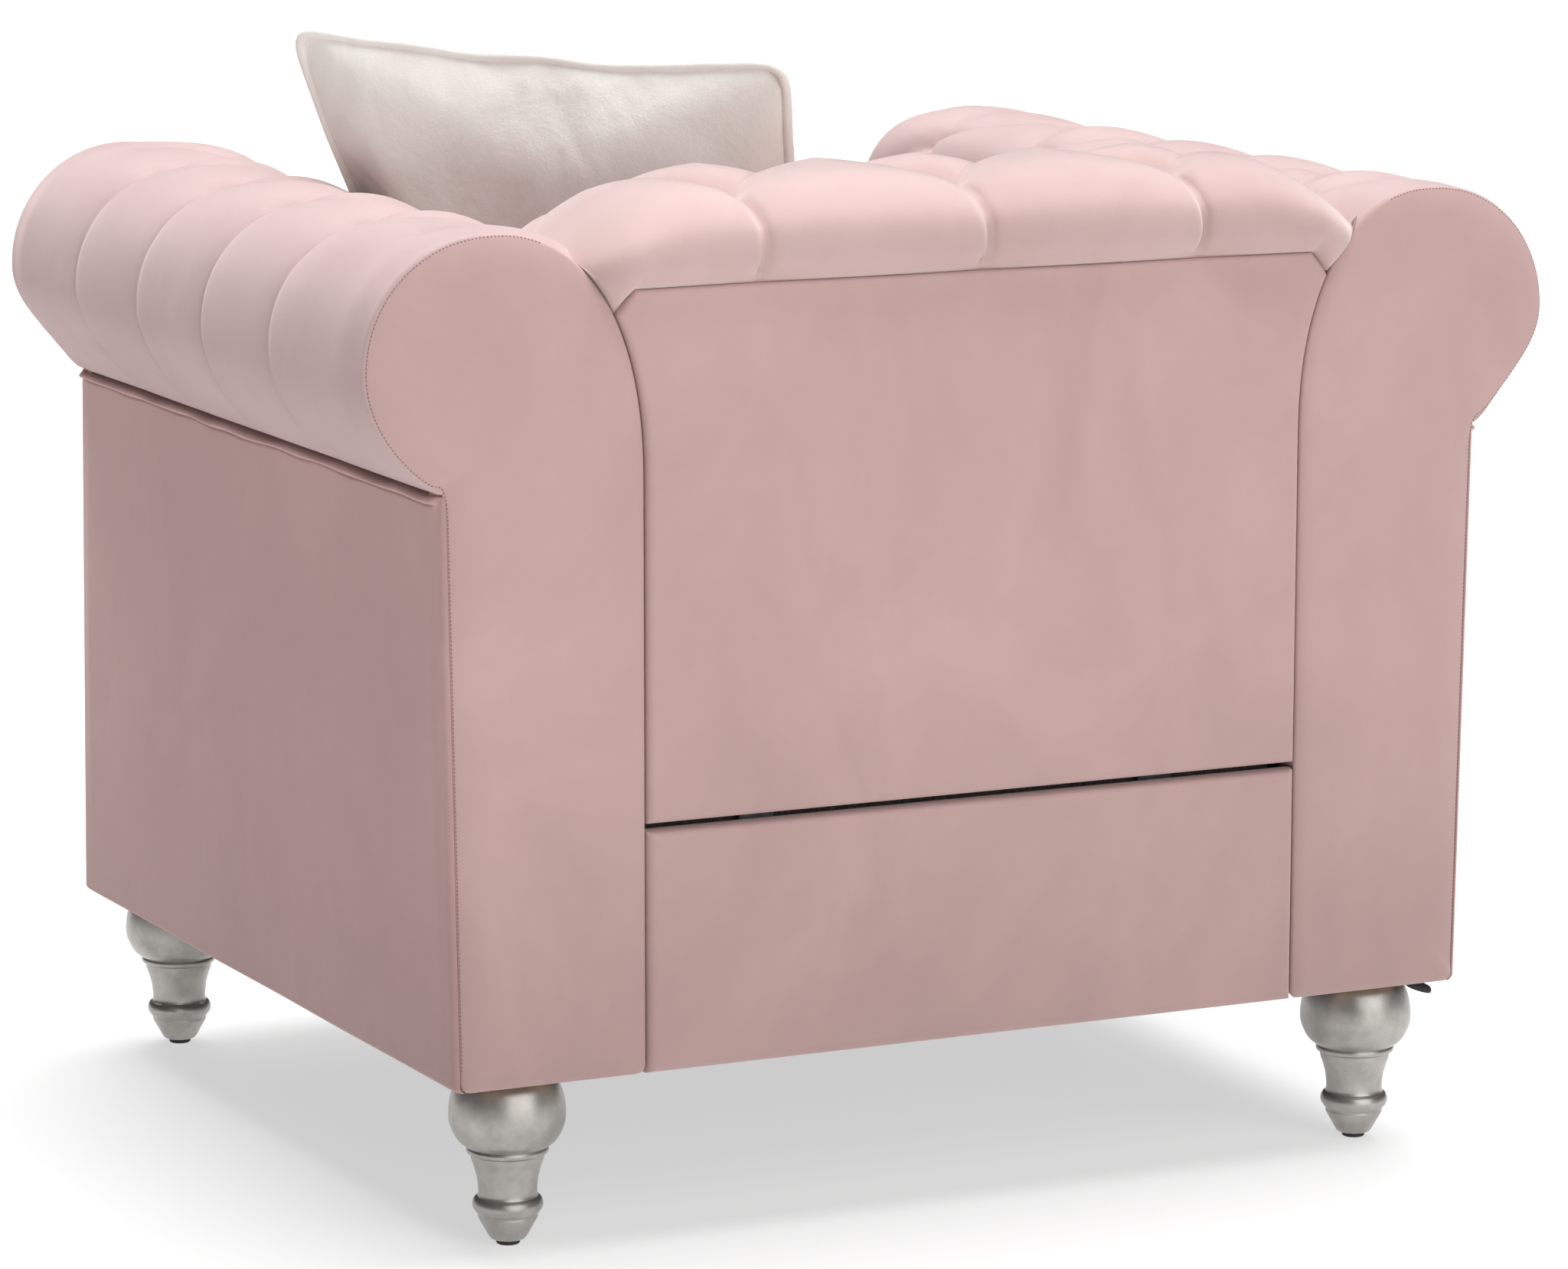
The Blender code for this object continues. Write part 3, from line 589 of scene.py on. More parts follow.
def facing_outline(end, flat):
    """Points round a facing, their middle-line targets, and the edge's depth and rounding width."""
    corner = FACING_CORNER
    foot_x = FOOT_OUT[end] - STRIP
    lean = foot_x - (ARM_OUT - STRIP)
    inner_wall = [(ARM_IN, BODY_Z + corner), (ARM_IN, 0.30), (ARM_IN, 0.45), (ARM_IN, NECK_Z - 0.004)]
    curve = list(reversed(scroll(flat=flat)))[:-1]
    fillet = [(0.0058, 0.0058), (0.0030, 0.0016), (0.0013, -0.0040), (0.0004, -0.0100), (0.0, -0.0170)]
    outer = [(ARM_OUT - STRIP + a, NECK_Z + b) for a, b in fillet]
    outer += [(ARM_OUT - STRIP + lean * share, NECK_Z - (NECK_Z - BODY_Z) * share)
              for share in (0.25, 0.55, 0.85)]
    outer += [(foot_x, BODY_Z + corner)]
    foot = arc((foot_x - corner, BODY_Z + corner), corner, -10, -80, 5)
    foot += arc((ARM_IN + corner, BODY_Z + corner), corner, -100, -170, 5)
    points = np.array(inner_wall + curve + outer + foot + [inner_wall[0]])
    along = distances(points)
    at = np.linspace(0, along[-1], FACING_POINTS, endpoint=False)
    line = np.stack([np.interp(at, along, points[:, i]) for i in (0, 1)], 1)
    keys = [((ARM_IN, BODY_Z + corner), (0.350, 0.200)), ((ARM_IN, 0.50), (0.370, 0.50)),
            ((ARM_IN, 0.60), (0.383, 0.600)), ((0.313, 0.739), (0.404, 0.690)),
            ((ROLL_X, ROLL_TOP), (0.417, 0.712)), ((ROLL_X + ROLL_R, ROLL_Z), (0.428, 0.700)),
            ((0.472, 0.622), (0.404, 0.664)), ((ARM_OUT - STRIP, NECK_Z), (0.387, 0.608)),
            ((ARM_OUT - STRIP, 0.50), (0.373, 0.50)), ((foot_x, BODY_Z + corner), (0.384, 0.200))]
    key_at = [at[np.argmin(np.linalg.norm(line - np.array(place), axis=1))] for place, _ in keys]
    targets = np.array([target for _, target in keys] + [keys[0][1]])
    key_at = np.array(key_at + [along[-1]])
    middle = np.stack([np.interp(at, key_at, targets[:, i]) for i in (0, 1)], 1)
    crest_at, neck_at, foot_at = key_at[4], key_at[7], key_at[9]
    on_inner = 1 - smoothstep(crest_at - 0.14, crest_at - 0.02, at)
    on_foot = smoothstep(foot_at - 0.01, foot_at + 0.01, at)
    depth = SEAM_DEPTH - 0.0026 * on_inner - 0.0022 * on_foot
    width = 0.028 - 0.015 * on_inner - 0.014 * on_foot
    on_roll = smoothstep(crest_at - 0.03, crest_at + 0.02, at)
    on_roll = on_roll * (1 - smoothstep(neck_at - 0.01, neck_at, at))
    stitched = (at > crest_at - 0.05) & (at < foot_at - 0.004)
    return line, middle, depth, width, on_roll, stitched


FACING_RINGS = (0.0, 0.0004, 0.0010, 0.0018, 0.003, 0.0045, 0.0065, 0.009, 0.012, 0.0155, 0.020, 0.025,
                0.031, 0.037)    # distances in from a facing's edge
FACING_SHARES = (0.3, 0.6, 0.85, 0.96)    # and shares of the way from the last one to the middle line
FACING_SWELL = 2.2
STITCH_INSET = 0.0012


def arm_facing(side, sign, end, toward):
    """A padded scroll facing that swells from its seams, with stitches along the outer ones."""
    flat = float(sag(sign, toward * REAR_Y))
    line, middle, edge_depth, width, on_roll, stitched = facing_outline(end, flat)
    reach = np.linalg.norm(line - middle, axis=1)
    lean = (middle - line) / reach[:, None]
    tangent = np.roll(line, -1, axis=0) - np.roll(line, 1, axis=0)
    tangent /= np.linalg.norm(tangent, axis=1)[:, None]
    inward = np.stack([tangent[:, 1], -tangent[:, 0]], 1)
    inward *= np.sign((inward * lean).sum(1))[:, None]
    slant = np.clip((inward * lean).sum(1), 0.35, 1)
    line = line + inward * (0.0012 * on_roll)[:, None]

    def surface(inside):
        share = np.clip(1 - inside / width, 0, 1)
        rounding = 0.0016 * max(0.0, 1 - inside / 0.0016) ** 2
        return edge_depth * share ** FACING_SWELL + rounding

    back = line + lean * (0.0035 / slant)[:, None]
    rings = [np.column_stack([back[:, 0], np.full(len(line), REAR_Y - 0.0135), back[:, 1]])]
    for inside in FACING_RINGS:
        moved = line + lean * np.minimum(inside / slant, reach * 0.93)[:, None]
        uneven = 0.0010 * waves(31, moved[:, 0], moved[:, 1], scale=0.16) * min(inside / 0.02, 1.0)
        rings.append(np.column_stack([moved[:, 0], REAR_Y - surface(inside) + uneven, moved[:, 1]]))
    last = line + lean * np.minimum(FACING_RINGS[-1] / slant, reach * 0.93)[:, None]
    for share in FACING_SHARES:
        moved = last + (middle - last) * share
        uneven = 0.0010 * waves(31, moved[:, 0], moved[:, 1], scale=0.16)
        rings.append(np.column_stack([moved[:, 0], REAR_Y + 0.0006 * share + uneven, moved[:, 1]]))
    rings = np.array(rings)
    rings[:, :, 0] *= sign
    rings[:, :, 1] *= toward
    made = piece(f"arm_facing_cover_{end}_{side}", rings.reshape(-1, 3), ring_faces(len(rings), len(line)),
                 VELVET, "chair", smooth=60)
    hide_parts(f"arm_facing_{end}_{side}")

    seam = line[stitched] + inward[stitched] * STITCH_INSET
    level = REAR_Y - (edge_depth * np.clip(1 - STITCH_INSET / width, 0, 1) ** FACING_SWELL)[stitched]
    path = [Vector((sign * x, toward * (y + 0.0001), z)) for (x, z), y in zip(seam, level)]
    stitches(f"facing_stitches_{end}_{side}", path, Vector((0, toward, 0)), "chair")


STITCH_PITCH = 0.0031
STITCH_LENGTH = 0.0016
STITCH_RADIUS = 0.00034
STITCH_SIDES = 6
STITCH_STATIONS = [(-0.5, 0.35), (-0.2, 1.0), (0.2, 1.0), (0.5, 0.35)]    # shares of length and radius


def stitches(name, path, normal, body):
    """A row of short thread stitches along a path, each a tapered six-sided pill."""
    points = np.array([tuple(p) for p in path])
    along = distances(points)
    vertices, faces = [], []
    for start in np.arange(STITCH_PITCH / 2, along[-1] - STITCH_PITCH / 2, STITCH_PITCH):
        ends = [Vector([np.interp(start + k * STITCH_LENGTH, along, points[:, i]) for i in range(3)])
                for k in (-0.5, 0.5)]
        middle = (ends[0] + ends[1]) / 2
        run = (ends[1] - ends[0]).normalized()
        cross = run.cross(Vector(normal)).normalized()
        out = cross.cross(run)
        base = len(vertices)
        for k, full in STITCH_STATIONS:
            for i in range(STITCH_SIDES):
                angle = 2 * math.pi * i / STITCH_SIDES
                spread = cross * math.cos(angle) + out * math.sin(angle)
                vertices.append(middle + run * (k * STITCH_LENGTH) + spread * (STITCH_RADIUS * full))
        faces += ring_faces(len(STITCH_STATIONS), STITCH_SIDES, first=base)
    return piece(name, vertices, faces, THREAD_WITH_HOLE_SHADE, body, smooth=0)


HEM_OUT = 0.0058         # how far the hem under the roll stands out
PANEL_COLUMNS = 240


def arm_panel(side, sign):
    """The outside arm panel: turned round both corners to the facings, with a wavy hem under the roll."""
    top = NECK_Z - 0.0004
    wrap = [(0.0055, 0.0125), (0.0052, 0.0090), (STRIP, 0.0070), (0.0040, 0.0064), (0.0026, 0.0074),
            (0.0013, 0.0090), (0.0005, 0.0108), (0.0002, 0.0125)]
    middle_y = np.linspace(-REAR_Y + 0.014, REAR_Y - 0.014, PANEL_COLUMNS)
    y = np.concatenate([[-REAR_Y + d for _, d in wrap], middle_y, [REAR_Y - d for _, d in reversed(wrap)]])
    inset = np.concatenate([[i for i, _ in wrap], np.zeros(PANEL_COLUMNS), [i for i, _ in reversed(wrap)]])
    from_end = REAR_Y - np.abs(y)
    hold = smoothstep(0.012, 0.032, from_end)
    wave = 0.7 * waves(57, y, scale=0.17) + 0.4 * waves(58, y, scale=0.055)
    hem_top = top - 0.0006 - 0.0016 * (1 + 0.9 * wave) * hold
    hem_low = hem_top - 0.0058 - 0.0016 * waves(59, y, scale=0.09) * hold
    foot_out = np.interp(y, (-REAR_Y, REAR_Y), (FOOT_OUT["front"], FOOT_OUT["rear"]))
    tall = top - BODY_Z
    levels = np.concatenate([[0.0, 0.0008, 0.002, 0.004, 0.007], np.linspace(0.012, tall - 0.016, 40),
                             np.linspace(tall - 0.0145, tall, 40)])
    rings = []
    for level in levels:
        z = BODY_Z + level
        wall = foot_out + (ARM_OUT - foot_out) * level / (NECK_Z - BODY_Z)
        puff = 0.0020 * math.sin(math.pi * min(level / tall, 1)) * hold
        puff = puff + 0.0008 * waves(61, y, np.full_like(y, z), scale=0.24) * hold
        foot_round = 0.0035 * max(0.0, 1 - level / 0.0045) ** 2
        t = (z - hem_low) / (hem_top - hem_low)
        bulge = np.where((t > 0) & (t < 1), np.sin(np.pi * np.clip(t, 0, 1)) ** 0.4, 0.0)
        hem = HEM_OUT * bulge * (0.85 + 0.30 * waves(60, y, scale=0.12)) * smoothstep(0.011, 0.019, from_end)
        crease = 0.0016 * np.exp(-((z - hem_low) / 0.0014) ** 2) * hold
        recess = 0.0075 * smoothstep(0.0, 1.0, (z - hem_top) / 0.0016) * smoothstep(0.006, 0.014, from_end)
        knot = np.exp(-((from_end - 0.0165) / 0.0034) ** 2) * np.exp(-((z - hem_low - 0.001) / 0.0036) ** 2)
        folds = np.exp(-((from_end - 0.0098 - 0.25 * (top - z)) / 0.0010) ** 2)
        folds = folds * smoothstep(top - 0.022, top - 0.006, z)
        x = wall + puff + hem - crease - inset - foot_round - recess + 0.0016 * knot - 0.0009 * folds
        ring = [(sign * a, b, z) for a, b in zip(x, y)]
        ring += [(sign * (wall[-1] - 0.0110), REAR_Y - 0.0150, z),
                 (sign * (wall[0] - 0.0110), -REAR_Y + 0.0150, z)]
        rings.append(ring)
    rings = np.array(rings)
    made = piece(f"arm_panel_cover_{side}", rings.reshape(-1, 3), ring_faces(len(levels), rings.shape[1]),
                 SHADE_PAINTED_SIDE_VELVET, "chair", smooth=60)
    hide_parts(f"arm_panel_outside_{side}")


def arms():
    for side, sign in SIDES.items():
        arm_cover(side, sign)
        arm_panel(side, sign)
        for end, toward in ENDS.items():
            arm_facing(side, sign, end, toward)


# ---- back unit ----------------------------------------------------------------------------------
BACK_TUFTS = Tufting(pitch=0.1945, u_start=0.0, first_row=0.124, spacing=0.108, rows=4,
                     deep=0.030, mid=0.0160, pleat=0.17, fade=0.040, crease=0.0080)
BACK_END = BACK[1].x + 0.008
BACK_TOP = 0.838         # height of the top roll in its middle
BACK_CORE = 0.7372       # height of the closed underside of the top roll
DROOP_FROM = 0.215       # the top roll sinks from here to its ends
DROOP = 0.0585
CHAMFER_FROM = 0.301     # its seam turns down from here to the outside panel's cut corner
CHAMFER = 0.019
ON_ARM = ARM_IN - 0.0015    # past here the skin lies on the arms


def back_profile():
    """Side view (y, z) of the back's skin: rear seam, top roll, inside face down to the deck."""
    seam = SEAM_Z + 0.0005
    roll = [(REAR_Y - 0.006, seam), (REAR_Y + 0.0005, seam + 0.0022), (REAR_Y + 0.0052, seam + 0.009),
            (REAR_Y + 0.0092, seam + 0.020), (REAR_Y + 0.0100, seam + 0.032),
            (REAR_Y + 0.0058, seam + 0.045), (REAR_Y - 0.0065, 0.8140),
            (REAR_Y - 0.0230, 0.8240), (REAR_Y - 0.0430, 0.8310),
            (0.343, 0.8360), (0.314, BACK_TOP), (0.286, 0.832), (0.262, 0.817), (0.245, 0.795),
            (0.235, 0.765), (0.229, 0.730)]
    inside = [(0.222, 0.660), (0.212, 0.560), (0.2065, 0.480), (0.204, DECK_Z + 0.0035)]
    return roll + inside


def spline(points, steps=10):
    """A Catmull-Rom curve through the points."""
    p = np.array(points, float)
    p = np.vstack([2 * p[0] - p[1], p, 2 * p[-1] - p[-2]])
    out = []
    for i in range(1, len(p) - 2):
        for t in np.linspace(0, 1, steps, endpoint=False):
            out.append(0.5 * ((2 * p[i]) + (p[i + 1] - p[i - 1]) * t
                              + (2 * p[i - 1] - 5 * p[i] + 4 * p[i + 1] - p[i + 2]) * t * t
                              + (3 * p[i] - p[i - 1] - 3 * p[i + 1] + p[i + 2]) * t ** 3))
    out.append(p[-2])
    return np.array(out)


def back_cover():
    """The tufted skin of the inside back and its top roll, drooping at both ends onto the arms."""
    columns, rows = 240, 230
    line, normals, v = resampled(spline(back_profile()), rows)
    middle = rows // 2
    if (line[middle] + normals[middle] * 0.02)[0] > line[middle][0]:
        normals = -normals
    crowd = 0.86    # sets the columns closer together towards the ends
    turns = np.linspace(-math.pi / 2, math.pi / 2, columns) * crowd
    x = BACK_END * np.sin(turns) / math.sin(crowd * math.pi / 2)
    u, across = np.meshgrid(x, v, indexing="ij")
    relief = BACK_TUFTS.relief(u, across, seed=41)
    start = smoothstep(0.0, 0.030, across)
    ends = 1 - smoothstep(0.26, 0.33, np.abs(u))
    height = 0.0062 * start - relief * (0.35 + 0.65 * ends) * smoothstep(0.001, 0.012, across)
    height += 0.0007 * waves(43, u, across, scale=0.15) * start
    y = line[:, 0][None, :] + normals[:, 0][None, :] * height
    z = line[:, 1][None, :] + normals[:, 1][None, :] * height

    droop = np.clip((np.abs(u) - DROOP_FROM) / (BACK_END - DROOP_FROM), 0, 1) ** 2.1
    lift = np.clip((z - SEAM_Z) / (BACK_TOP - SEAM_Z), 0, 1.1)
    z = z - DROOP * droop * lift
    drawn = np.clip((np.abs(u) - 0.30) / (BACK_END - 0.30), 0, 1) ** 2
    y = y + (0.315 - y) * 0.30 * drawn * (z > SEAM_Z - 0.03)
    chamfer = np.clip((np.abs(u) - CHAMFER_FROM) / 0.015, 0, 1)
    near_seam = np.exp(-across / 0.020)
    z = z - CHAMFER * chamfer * near_seam

    z = np.where(np.abs(u) > ON_ARM, np.maximum(z, arm_top_z(u) + 0.0012), z)
    skin = np.stack([u, y, z], -1)
    arm_z = arm_top_z(x) + 0.0008
    foot_z = DECK_Z + 0.0035
    inner_z = np.where(np.abs(x) > ON_ARM, np.maximum(arm_z, foot_z), foot_z)
    top_z = np.where(np.abs(x) > ON_ARM, arm_z, BACK_CORE)
    top_z = np.minimum(np.maximum(top_z, BACK_CORE), z.max(1) - 0.001)
    inner_z = np.minimum(inner_z, z.max(1) - 0.001)
    front = np.stack([x, np.full(columns, 0.2990), inner_z], -1)
    under = np.stack([x, np.full(columns, 0.2990), top_z], -1)
    rear = np.stack([x, np.full(columns, REAR_Y - 0.0152), top_z], -1)
    rings = np.concatenate([skin, front[:, None], under[:, None], rear[:, None]], 1)
    made = piece("back_cover", rings.reshape(-1, 3), ring_faces(columns, rings.shape[1]),
                 SHEEN_PAINTED_BACK_VELVET, "back_unit", smooth=0)
    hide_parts("back_pad")

    places = []
    for bu, bv in BACK_TUFTS.buttons(-0.285, 0.285):
        i = int(np.argmin(np.abs(x - bu)))
        j = int(np.argmin(np.abs(v - bv)))
        normal = Vector((0, normals[j, 0], normals[j, 1]))
        places.append((Vector(skin[i, j]) + normal * 0.0042, normal))
    button_mesh(places, "back_buttons", "back_unit", SHEEN_PAINTED_BACK_VELVET)


def padded_slab(name, half_width, z_low, z_high, y_face, y_back, toward, body, radius, puff, seed,
                columns=140, levels=90, top_radius=None):
    """A padded upright panel across the chair, with soft rounded edges; half_width is a function of z."""
    top_radius = radius if top_radius is None else top_radius
    spread = np.linspace(-1, 1, columns)
    spread = np.sign(spread) * (1 - (1 - np.abs(spread)) ** 1.35)
    t = np.linspace(0, 1, levels)
    t = 0.5 - 0.5 * np.cos(math.pi * t) * (0.75 + 0.25 * np.cos(math.pi * t) ** 2)
    rings = []
    for share in t:
        z = z_low + (z_high - z_low) * share
        half = float(half_width(z))
        x = spread * half
        side_gap = half - np.abs(x)
        inset = radius - np.sqrt(np.clip(radius ** 2 - np.clip(radius - side_gap, 0, radius) ** 2, 0, None))
        low_gap, high_gap = z - z_low, z_high - z
        if low_gap < radius:
            inset = np.maximum(inset, radius - math.sqrt(max(radius ** 2 - (radius - low_gap) ** 2, 0)))
        if high_gap < top_radius:
            fall = math.sqrt(max(top_radius ** 2 - (top_radius - high_gap) ** 2, 0))
            inset = np.maximum(inset, top_radius - fall)
        edge = np.minimum(side_gap, min(low_gap, high_gap))
        full = puff * smoothstep(0.0, 0.07, edge)
        full = full + 0.0006 * waves(seed, x, z, scale=0.2) * smoothstep(0, 0.02, edge)
        y = y_face - inset + full
        ring = [(a, toward * b, z) for a, b in zip(x, y)]
        ring += [(half, toward * y_back, z), (-half, toward * y_back, z)]
        rings.append(ring)
    rings = np.array(rings)
    return piece(name, rings.reshape(-1, 3), ring_faces(levels, rings.shape[1]), VELVET, body,
                 smooth=50)


def back_panel():
    """The outside back panel, following the arms' curve, with its corners cut under the roll's ends."""
    heights = np.linspace(NECK_Z, SEAM_Z, 60)
    spans = np.linspace(ARM_IN, 0.33, 200)
    reach = np.interp(heights, arm_top_z(spans), spans)

    def half_width(z):
        side = float(np.interp(z, heights, reach)) - 0.0008 if z > NECK_Z else ARM_IN - 0.0008
        corner = CHAMFER_FROM + max(SEAM_Z - z, 0) * 0.80
        return min(side, corner)

    made = padded_slab("back_panel_cover", half_width, BACK_PANEL[0].z, SEAM_Z + 0.001, REAR_Y,
                       END_Y - 0.0002, 1, "back_unit", radius=0.0065, puff=0.0022, seed=73,
                       top_radius=0.003, columns=170, levels=130)
    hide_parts("back_panel_outside")


# ---- seat ---------------------------------------------------------------------------------------
def rail_covers():
    """The padded covers of the rear and front seat rails, between the arms."""
    half = ARM_IN - 0.0006
    for end, cover, toward, seed in (("rear", RAIL_COVER, 1, 81), ("front", FRONT_COVER, -1, 83)):
        made = padded_slab(f"{end}_rail_cover", lambda z: half, BODY_Z, cover[1].z, REAR_Y, END_Y, toward,
                           "chair", radius=0.0075, puff=0.0018, seed=seed)
        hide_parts(f"seat_cover_{end}")


def inflate(obj, pressure, frames, stiffness, pinned=()):
    """Blows a closed mesh up as cloth with gravity off, its pinned points held, and returns the points."""
    cloth = obj.modifiers.new("cloth", "CLOTH")
    settings = cloth.settings
    settings.quality = 5
    settings.mass = 0.25
    settings.tension_stiffness = stiffness
    settings.compression_stiffness = stiffness / 3
    settings.shear_stiffness = stiffness / 3
    settings.bending_stiffness = 0.6
    settings.use_pressure = True
    settings.uniform_pressure_force = pressure
    settings.effector_weights.gravity = 0.0
    if len(pinned):
        obj.vertex_groups.new(name="seams").add([int(i) for i in pinned], 1.0, "REPLACE")
        settings.vertex_group_mass = "seams"
    cloth.point_cache.frame_start = 1
    cloth.point_cache.frame_end = frames
    scene = bpy.context.scene
    for number in range(1, frames + 1):
        scene.frame_set(number)
    depsgraph = bpy.context.evaluated_depsgraph_get()
    result = mesh_points(obj.evaluated_get(depsgraph).data)
    obj.modifiers.remove(cloth)
    obj.vertex_groups.clear()
    scene.frame_set(1)
    return result


SEAT_INSET = 0.0045      # the cushion's seams lie this far inside its frame box
SEAT_CELL = 0.0095
SEAT_DRAWN = 0.030       # how far its corners are drawn in, as a share of its half width
PIPING_RADIUS = 0.0032
PIPING_STEPS = 49


def seat_outline(half, s, t):
    """(x, y) on the cushion's plan, from -1 to 1 each way, with its corners drawn in."""
    return s * half.x * (1 - SEAT_DRAWN * t ** 10), t * half.y * (1 - SEAT_DRAWN * s ** 10)


def box_shell(half, z_low, z_high, cell):
    """The six panels of a box cushion in even square cells, and the points on its two seams."""
    counts = [max(2, round(length / cell)) for length in (2 * half.x, 2 * half.y, z_high - z_low)]
    index, points, faces, seams = {}, [], [], []

    def at(*ijk):
        if ijk not in index:
            s, t, up = (2 * ijk[0] / counts[0] - 1, 2 * ijk[1] / counts[1] - 1, ijk[2] / counts[2])
            index[ijk] = len(points)
            points.append((*seat_outline(half, s, t), z_low + (z_high - z_low) * up))
            if ijk[2] in (0, counts[2]) and (ijk[0] in (0, counts[0]) or ijk[1] in (0, counts[1])):
                seams.append(index[ijk])
        return index[ijk]

    for axis in range(3):
        one, two = [a for a in range(3) if a != axis]
        for end in (0, counts[axis]):
            for i in range(counts[one]):
                for j in range(counts[two]):
                    corners = []
                    for di, dj in ((0, 0), (1, 0), (1, 1), (0, 1)):
                        ijk = [0, 0, 0]
                        ijk[axis], ijk[one], ijk[two] = end, i + di, j + dj
                        corners.append(at(*ijk))
                    faces.append(corners)
    return np.array(points), faces, seams


def seat_cushion():
    """The loose box cushion, blown up as cloth between its piped seams."""
    low, high = CUSHION
    half = Vector(((high.x - low.x) / 2 - SEAT_INSET, (high.y - low.y) / 2 - SEAT_INSET, 0))
    middle = (low + high) / 2
    seam_low, seam_high = low.z + 0.010, high.z - 0.012
    points, faces, seams = box_shell(half, seam_low, seam_high, SEAT_CELL)
    points += (middle.x, middle.y, 0)
    made = piece("seat_cushion_cover", points, faces, VELVET, "seat_cushion", smooth=0)
    start = mesh_points(made.data)
    across = (start[:, 0] - middle.x) / half.x, (start[:, 1] - middle.y) / half.y
    held = [i for i, co in enumerate(start) if min(abs(co[2] - seam_low), abs(co[2] - seam_high)) < 1e-5
            and max(abs(across[0][i]), abs(across[1][i])) > 0.962]
    held = sorted(set(held) & {int(np.argmin(((start - points[k]) ** 2).sum(1))) for k in seams})
    moved = inflate(made, 4.0, 20, 15, held)
    push = moved - start
    limit = np.stack([np.full(len(start), 0.0040), np.full(len(start), 0.0040),
                      np.where(start[:, 2] > middle.z, 0.024, 0.0085)], 1)
    push = limit * np.tanh(push / limit)
    moved = start + push
    on_top = start[:, 2] > seam_high - 1e-5
    moved[:, 2] += 0.0009 * waves(91, start[:, 0], start[:, 1], scale=0.13) * on_top
    move_points(made.data, moved)
    subdivide(made, "finer", 1)
    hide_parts("seat_cushion")
    plan = np.array([seat_outline(half, s, t) for s, t in square_path(PIPING_STEPS)]) + (middle.x, middle.y)
    for name, z in (("low", seam_low), ("high", seam_high)):
        path = eased(np.column_stack([plan, np.full(len(plan), z)]), 3)
        tube(f"seat_piping_{name}", path, PIPING_RADIUS, VELVET, "seat_cushion")


def tube(name, path, radius, material, body, uneven=0.0):
    """A closed round cord along a closed path, its thickness varying a little."""
    points = np.array(path)
    ahead = np.roll(points, -1, axis=0) - np.roll(points, 1, axis=0)
    ahead /= np.linalg.norm(ahead, axis=1)[:, None]
    out = points - points.mean(0)
    out -= (out * ahead).sum(1)[:, None] * ahead
    out /= np.linalg.norm(out, axis=1)[:, None]
    up = np.cross(ahead, out)
    count, sides = len(points), 12
    thick = radius * (1 + uneven * waves(7, np.arange(count), scale=17.0))
    rings = [[point + thick[k] * (out[k] * math.cos(a) + up[k] * math.sin(a))
              for a in np.linspace(0, 2 * math.pi, sides, endpoint=False)] for k, point in enumerate(points)]
    faces = [(k * sides + i, k * sides + (i + 1) % sides,
              (k + 1) % count * sides + (i + 1) % sides, (k + 1) % count * sides + i)
             for k in range(count) for i in range(sides)]
    return piece(name, np.array(rings).reshape(-1, 3), faces, material, body, smooth=0)


# ---- throw pillow -------------------------------------------------------------------------------
PILLOW_TOP_LEFT = Vector((0.373, -0.100, 0.922))
PILLOW_TOP_RIGHT = Vector((0.065, 0.196, 0.903))
PILLOW_LOW_LEFT = Vector((0.243, -0.150, 0.492))
PILLOW_LOW_RIGHT = Vector((-0.030, 0.120, 0.486))
PILLOW_CUT = 0.440       # side of the flat cover
PILLOW_WELT = 0.0043     # radius of the furry seam round its edge
PILLOW_CELLS = 64
PILLOW_HALF = 0.060      # half its thickness at most
PILLOW_KEPT = 0.30       # share that is kept of how far its edges are drawn in
RIM_STEPS = 59


def flat_pillow():
    """Two flat sheets sewn round their edges, a little apart, in the XY plane."""
    cells = PILLOW_CELLS
    bm = bmesh.new()
    for face_sign in (1, -1):
        rows = []
        for i in range(cells + 1):
            row = []
            for j in range(cells + 1):
                s, t = 2 * i / cells - 1, 2 * j / cells - 1
                lift = 0.020 * ((1 - s * s) * (1 - t * t)) ** 0.5
                edge = i in (0, cells) or j in (0, cells)
                z = 0.0 if edge else face_sign * (0.0015 + lift)
                row.append(bm.verts.new((s * PILLOW_CUT / 2, t * PILLOW_CUT / 2, z)))
            rows.append(row)
        for i in range(cells):
            for j in range(cells):
                quad = (rows[i][j], rows[i + 1][j], rows[i + 1][j + 1], rows[i][j + 1])
                bm.faces.new(quad if face_sign > 0 else tuple(reversed(quad)))
    bmesh.ops.remove_doubles(bm, verts=bm.verts, dist=0.0005)
    bmesh.ops.recalc_face_normals(bm, faces=bm.faces)
    mesh = bpy.data.meshes.new("throw_pillow_cover")
    bm.to_mesh(mesh)
    bm.free()
    return mesh


def pillow_place(s, t, up):
    """Where a point of the pillow lies: s across and t up its face, -1 to 1, and up off its middle."""
    across = ((s + 1) / 2)[:, None]
    along = ((t + 1) / 2)[:, None]
    top_left, top_right = np.array(PILLOW_TOP_LEFT), np.array(PILLOW_TOP_RIGHT)
    low_left, low_right = np.array(PILLOW_LOW_LEFT), np.array(PILLOW_LOW_RIGHT)
    top = top_right + (top_left - top_right) * across
    low = low_right + (low_left - low_right) * across
    normal = np.cross(top_left - top_right, top_left - low_left)
    normal /= np.linalg.norm(normal)
    return low + (top - low) * along + normal[None, :] * up[:, None]


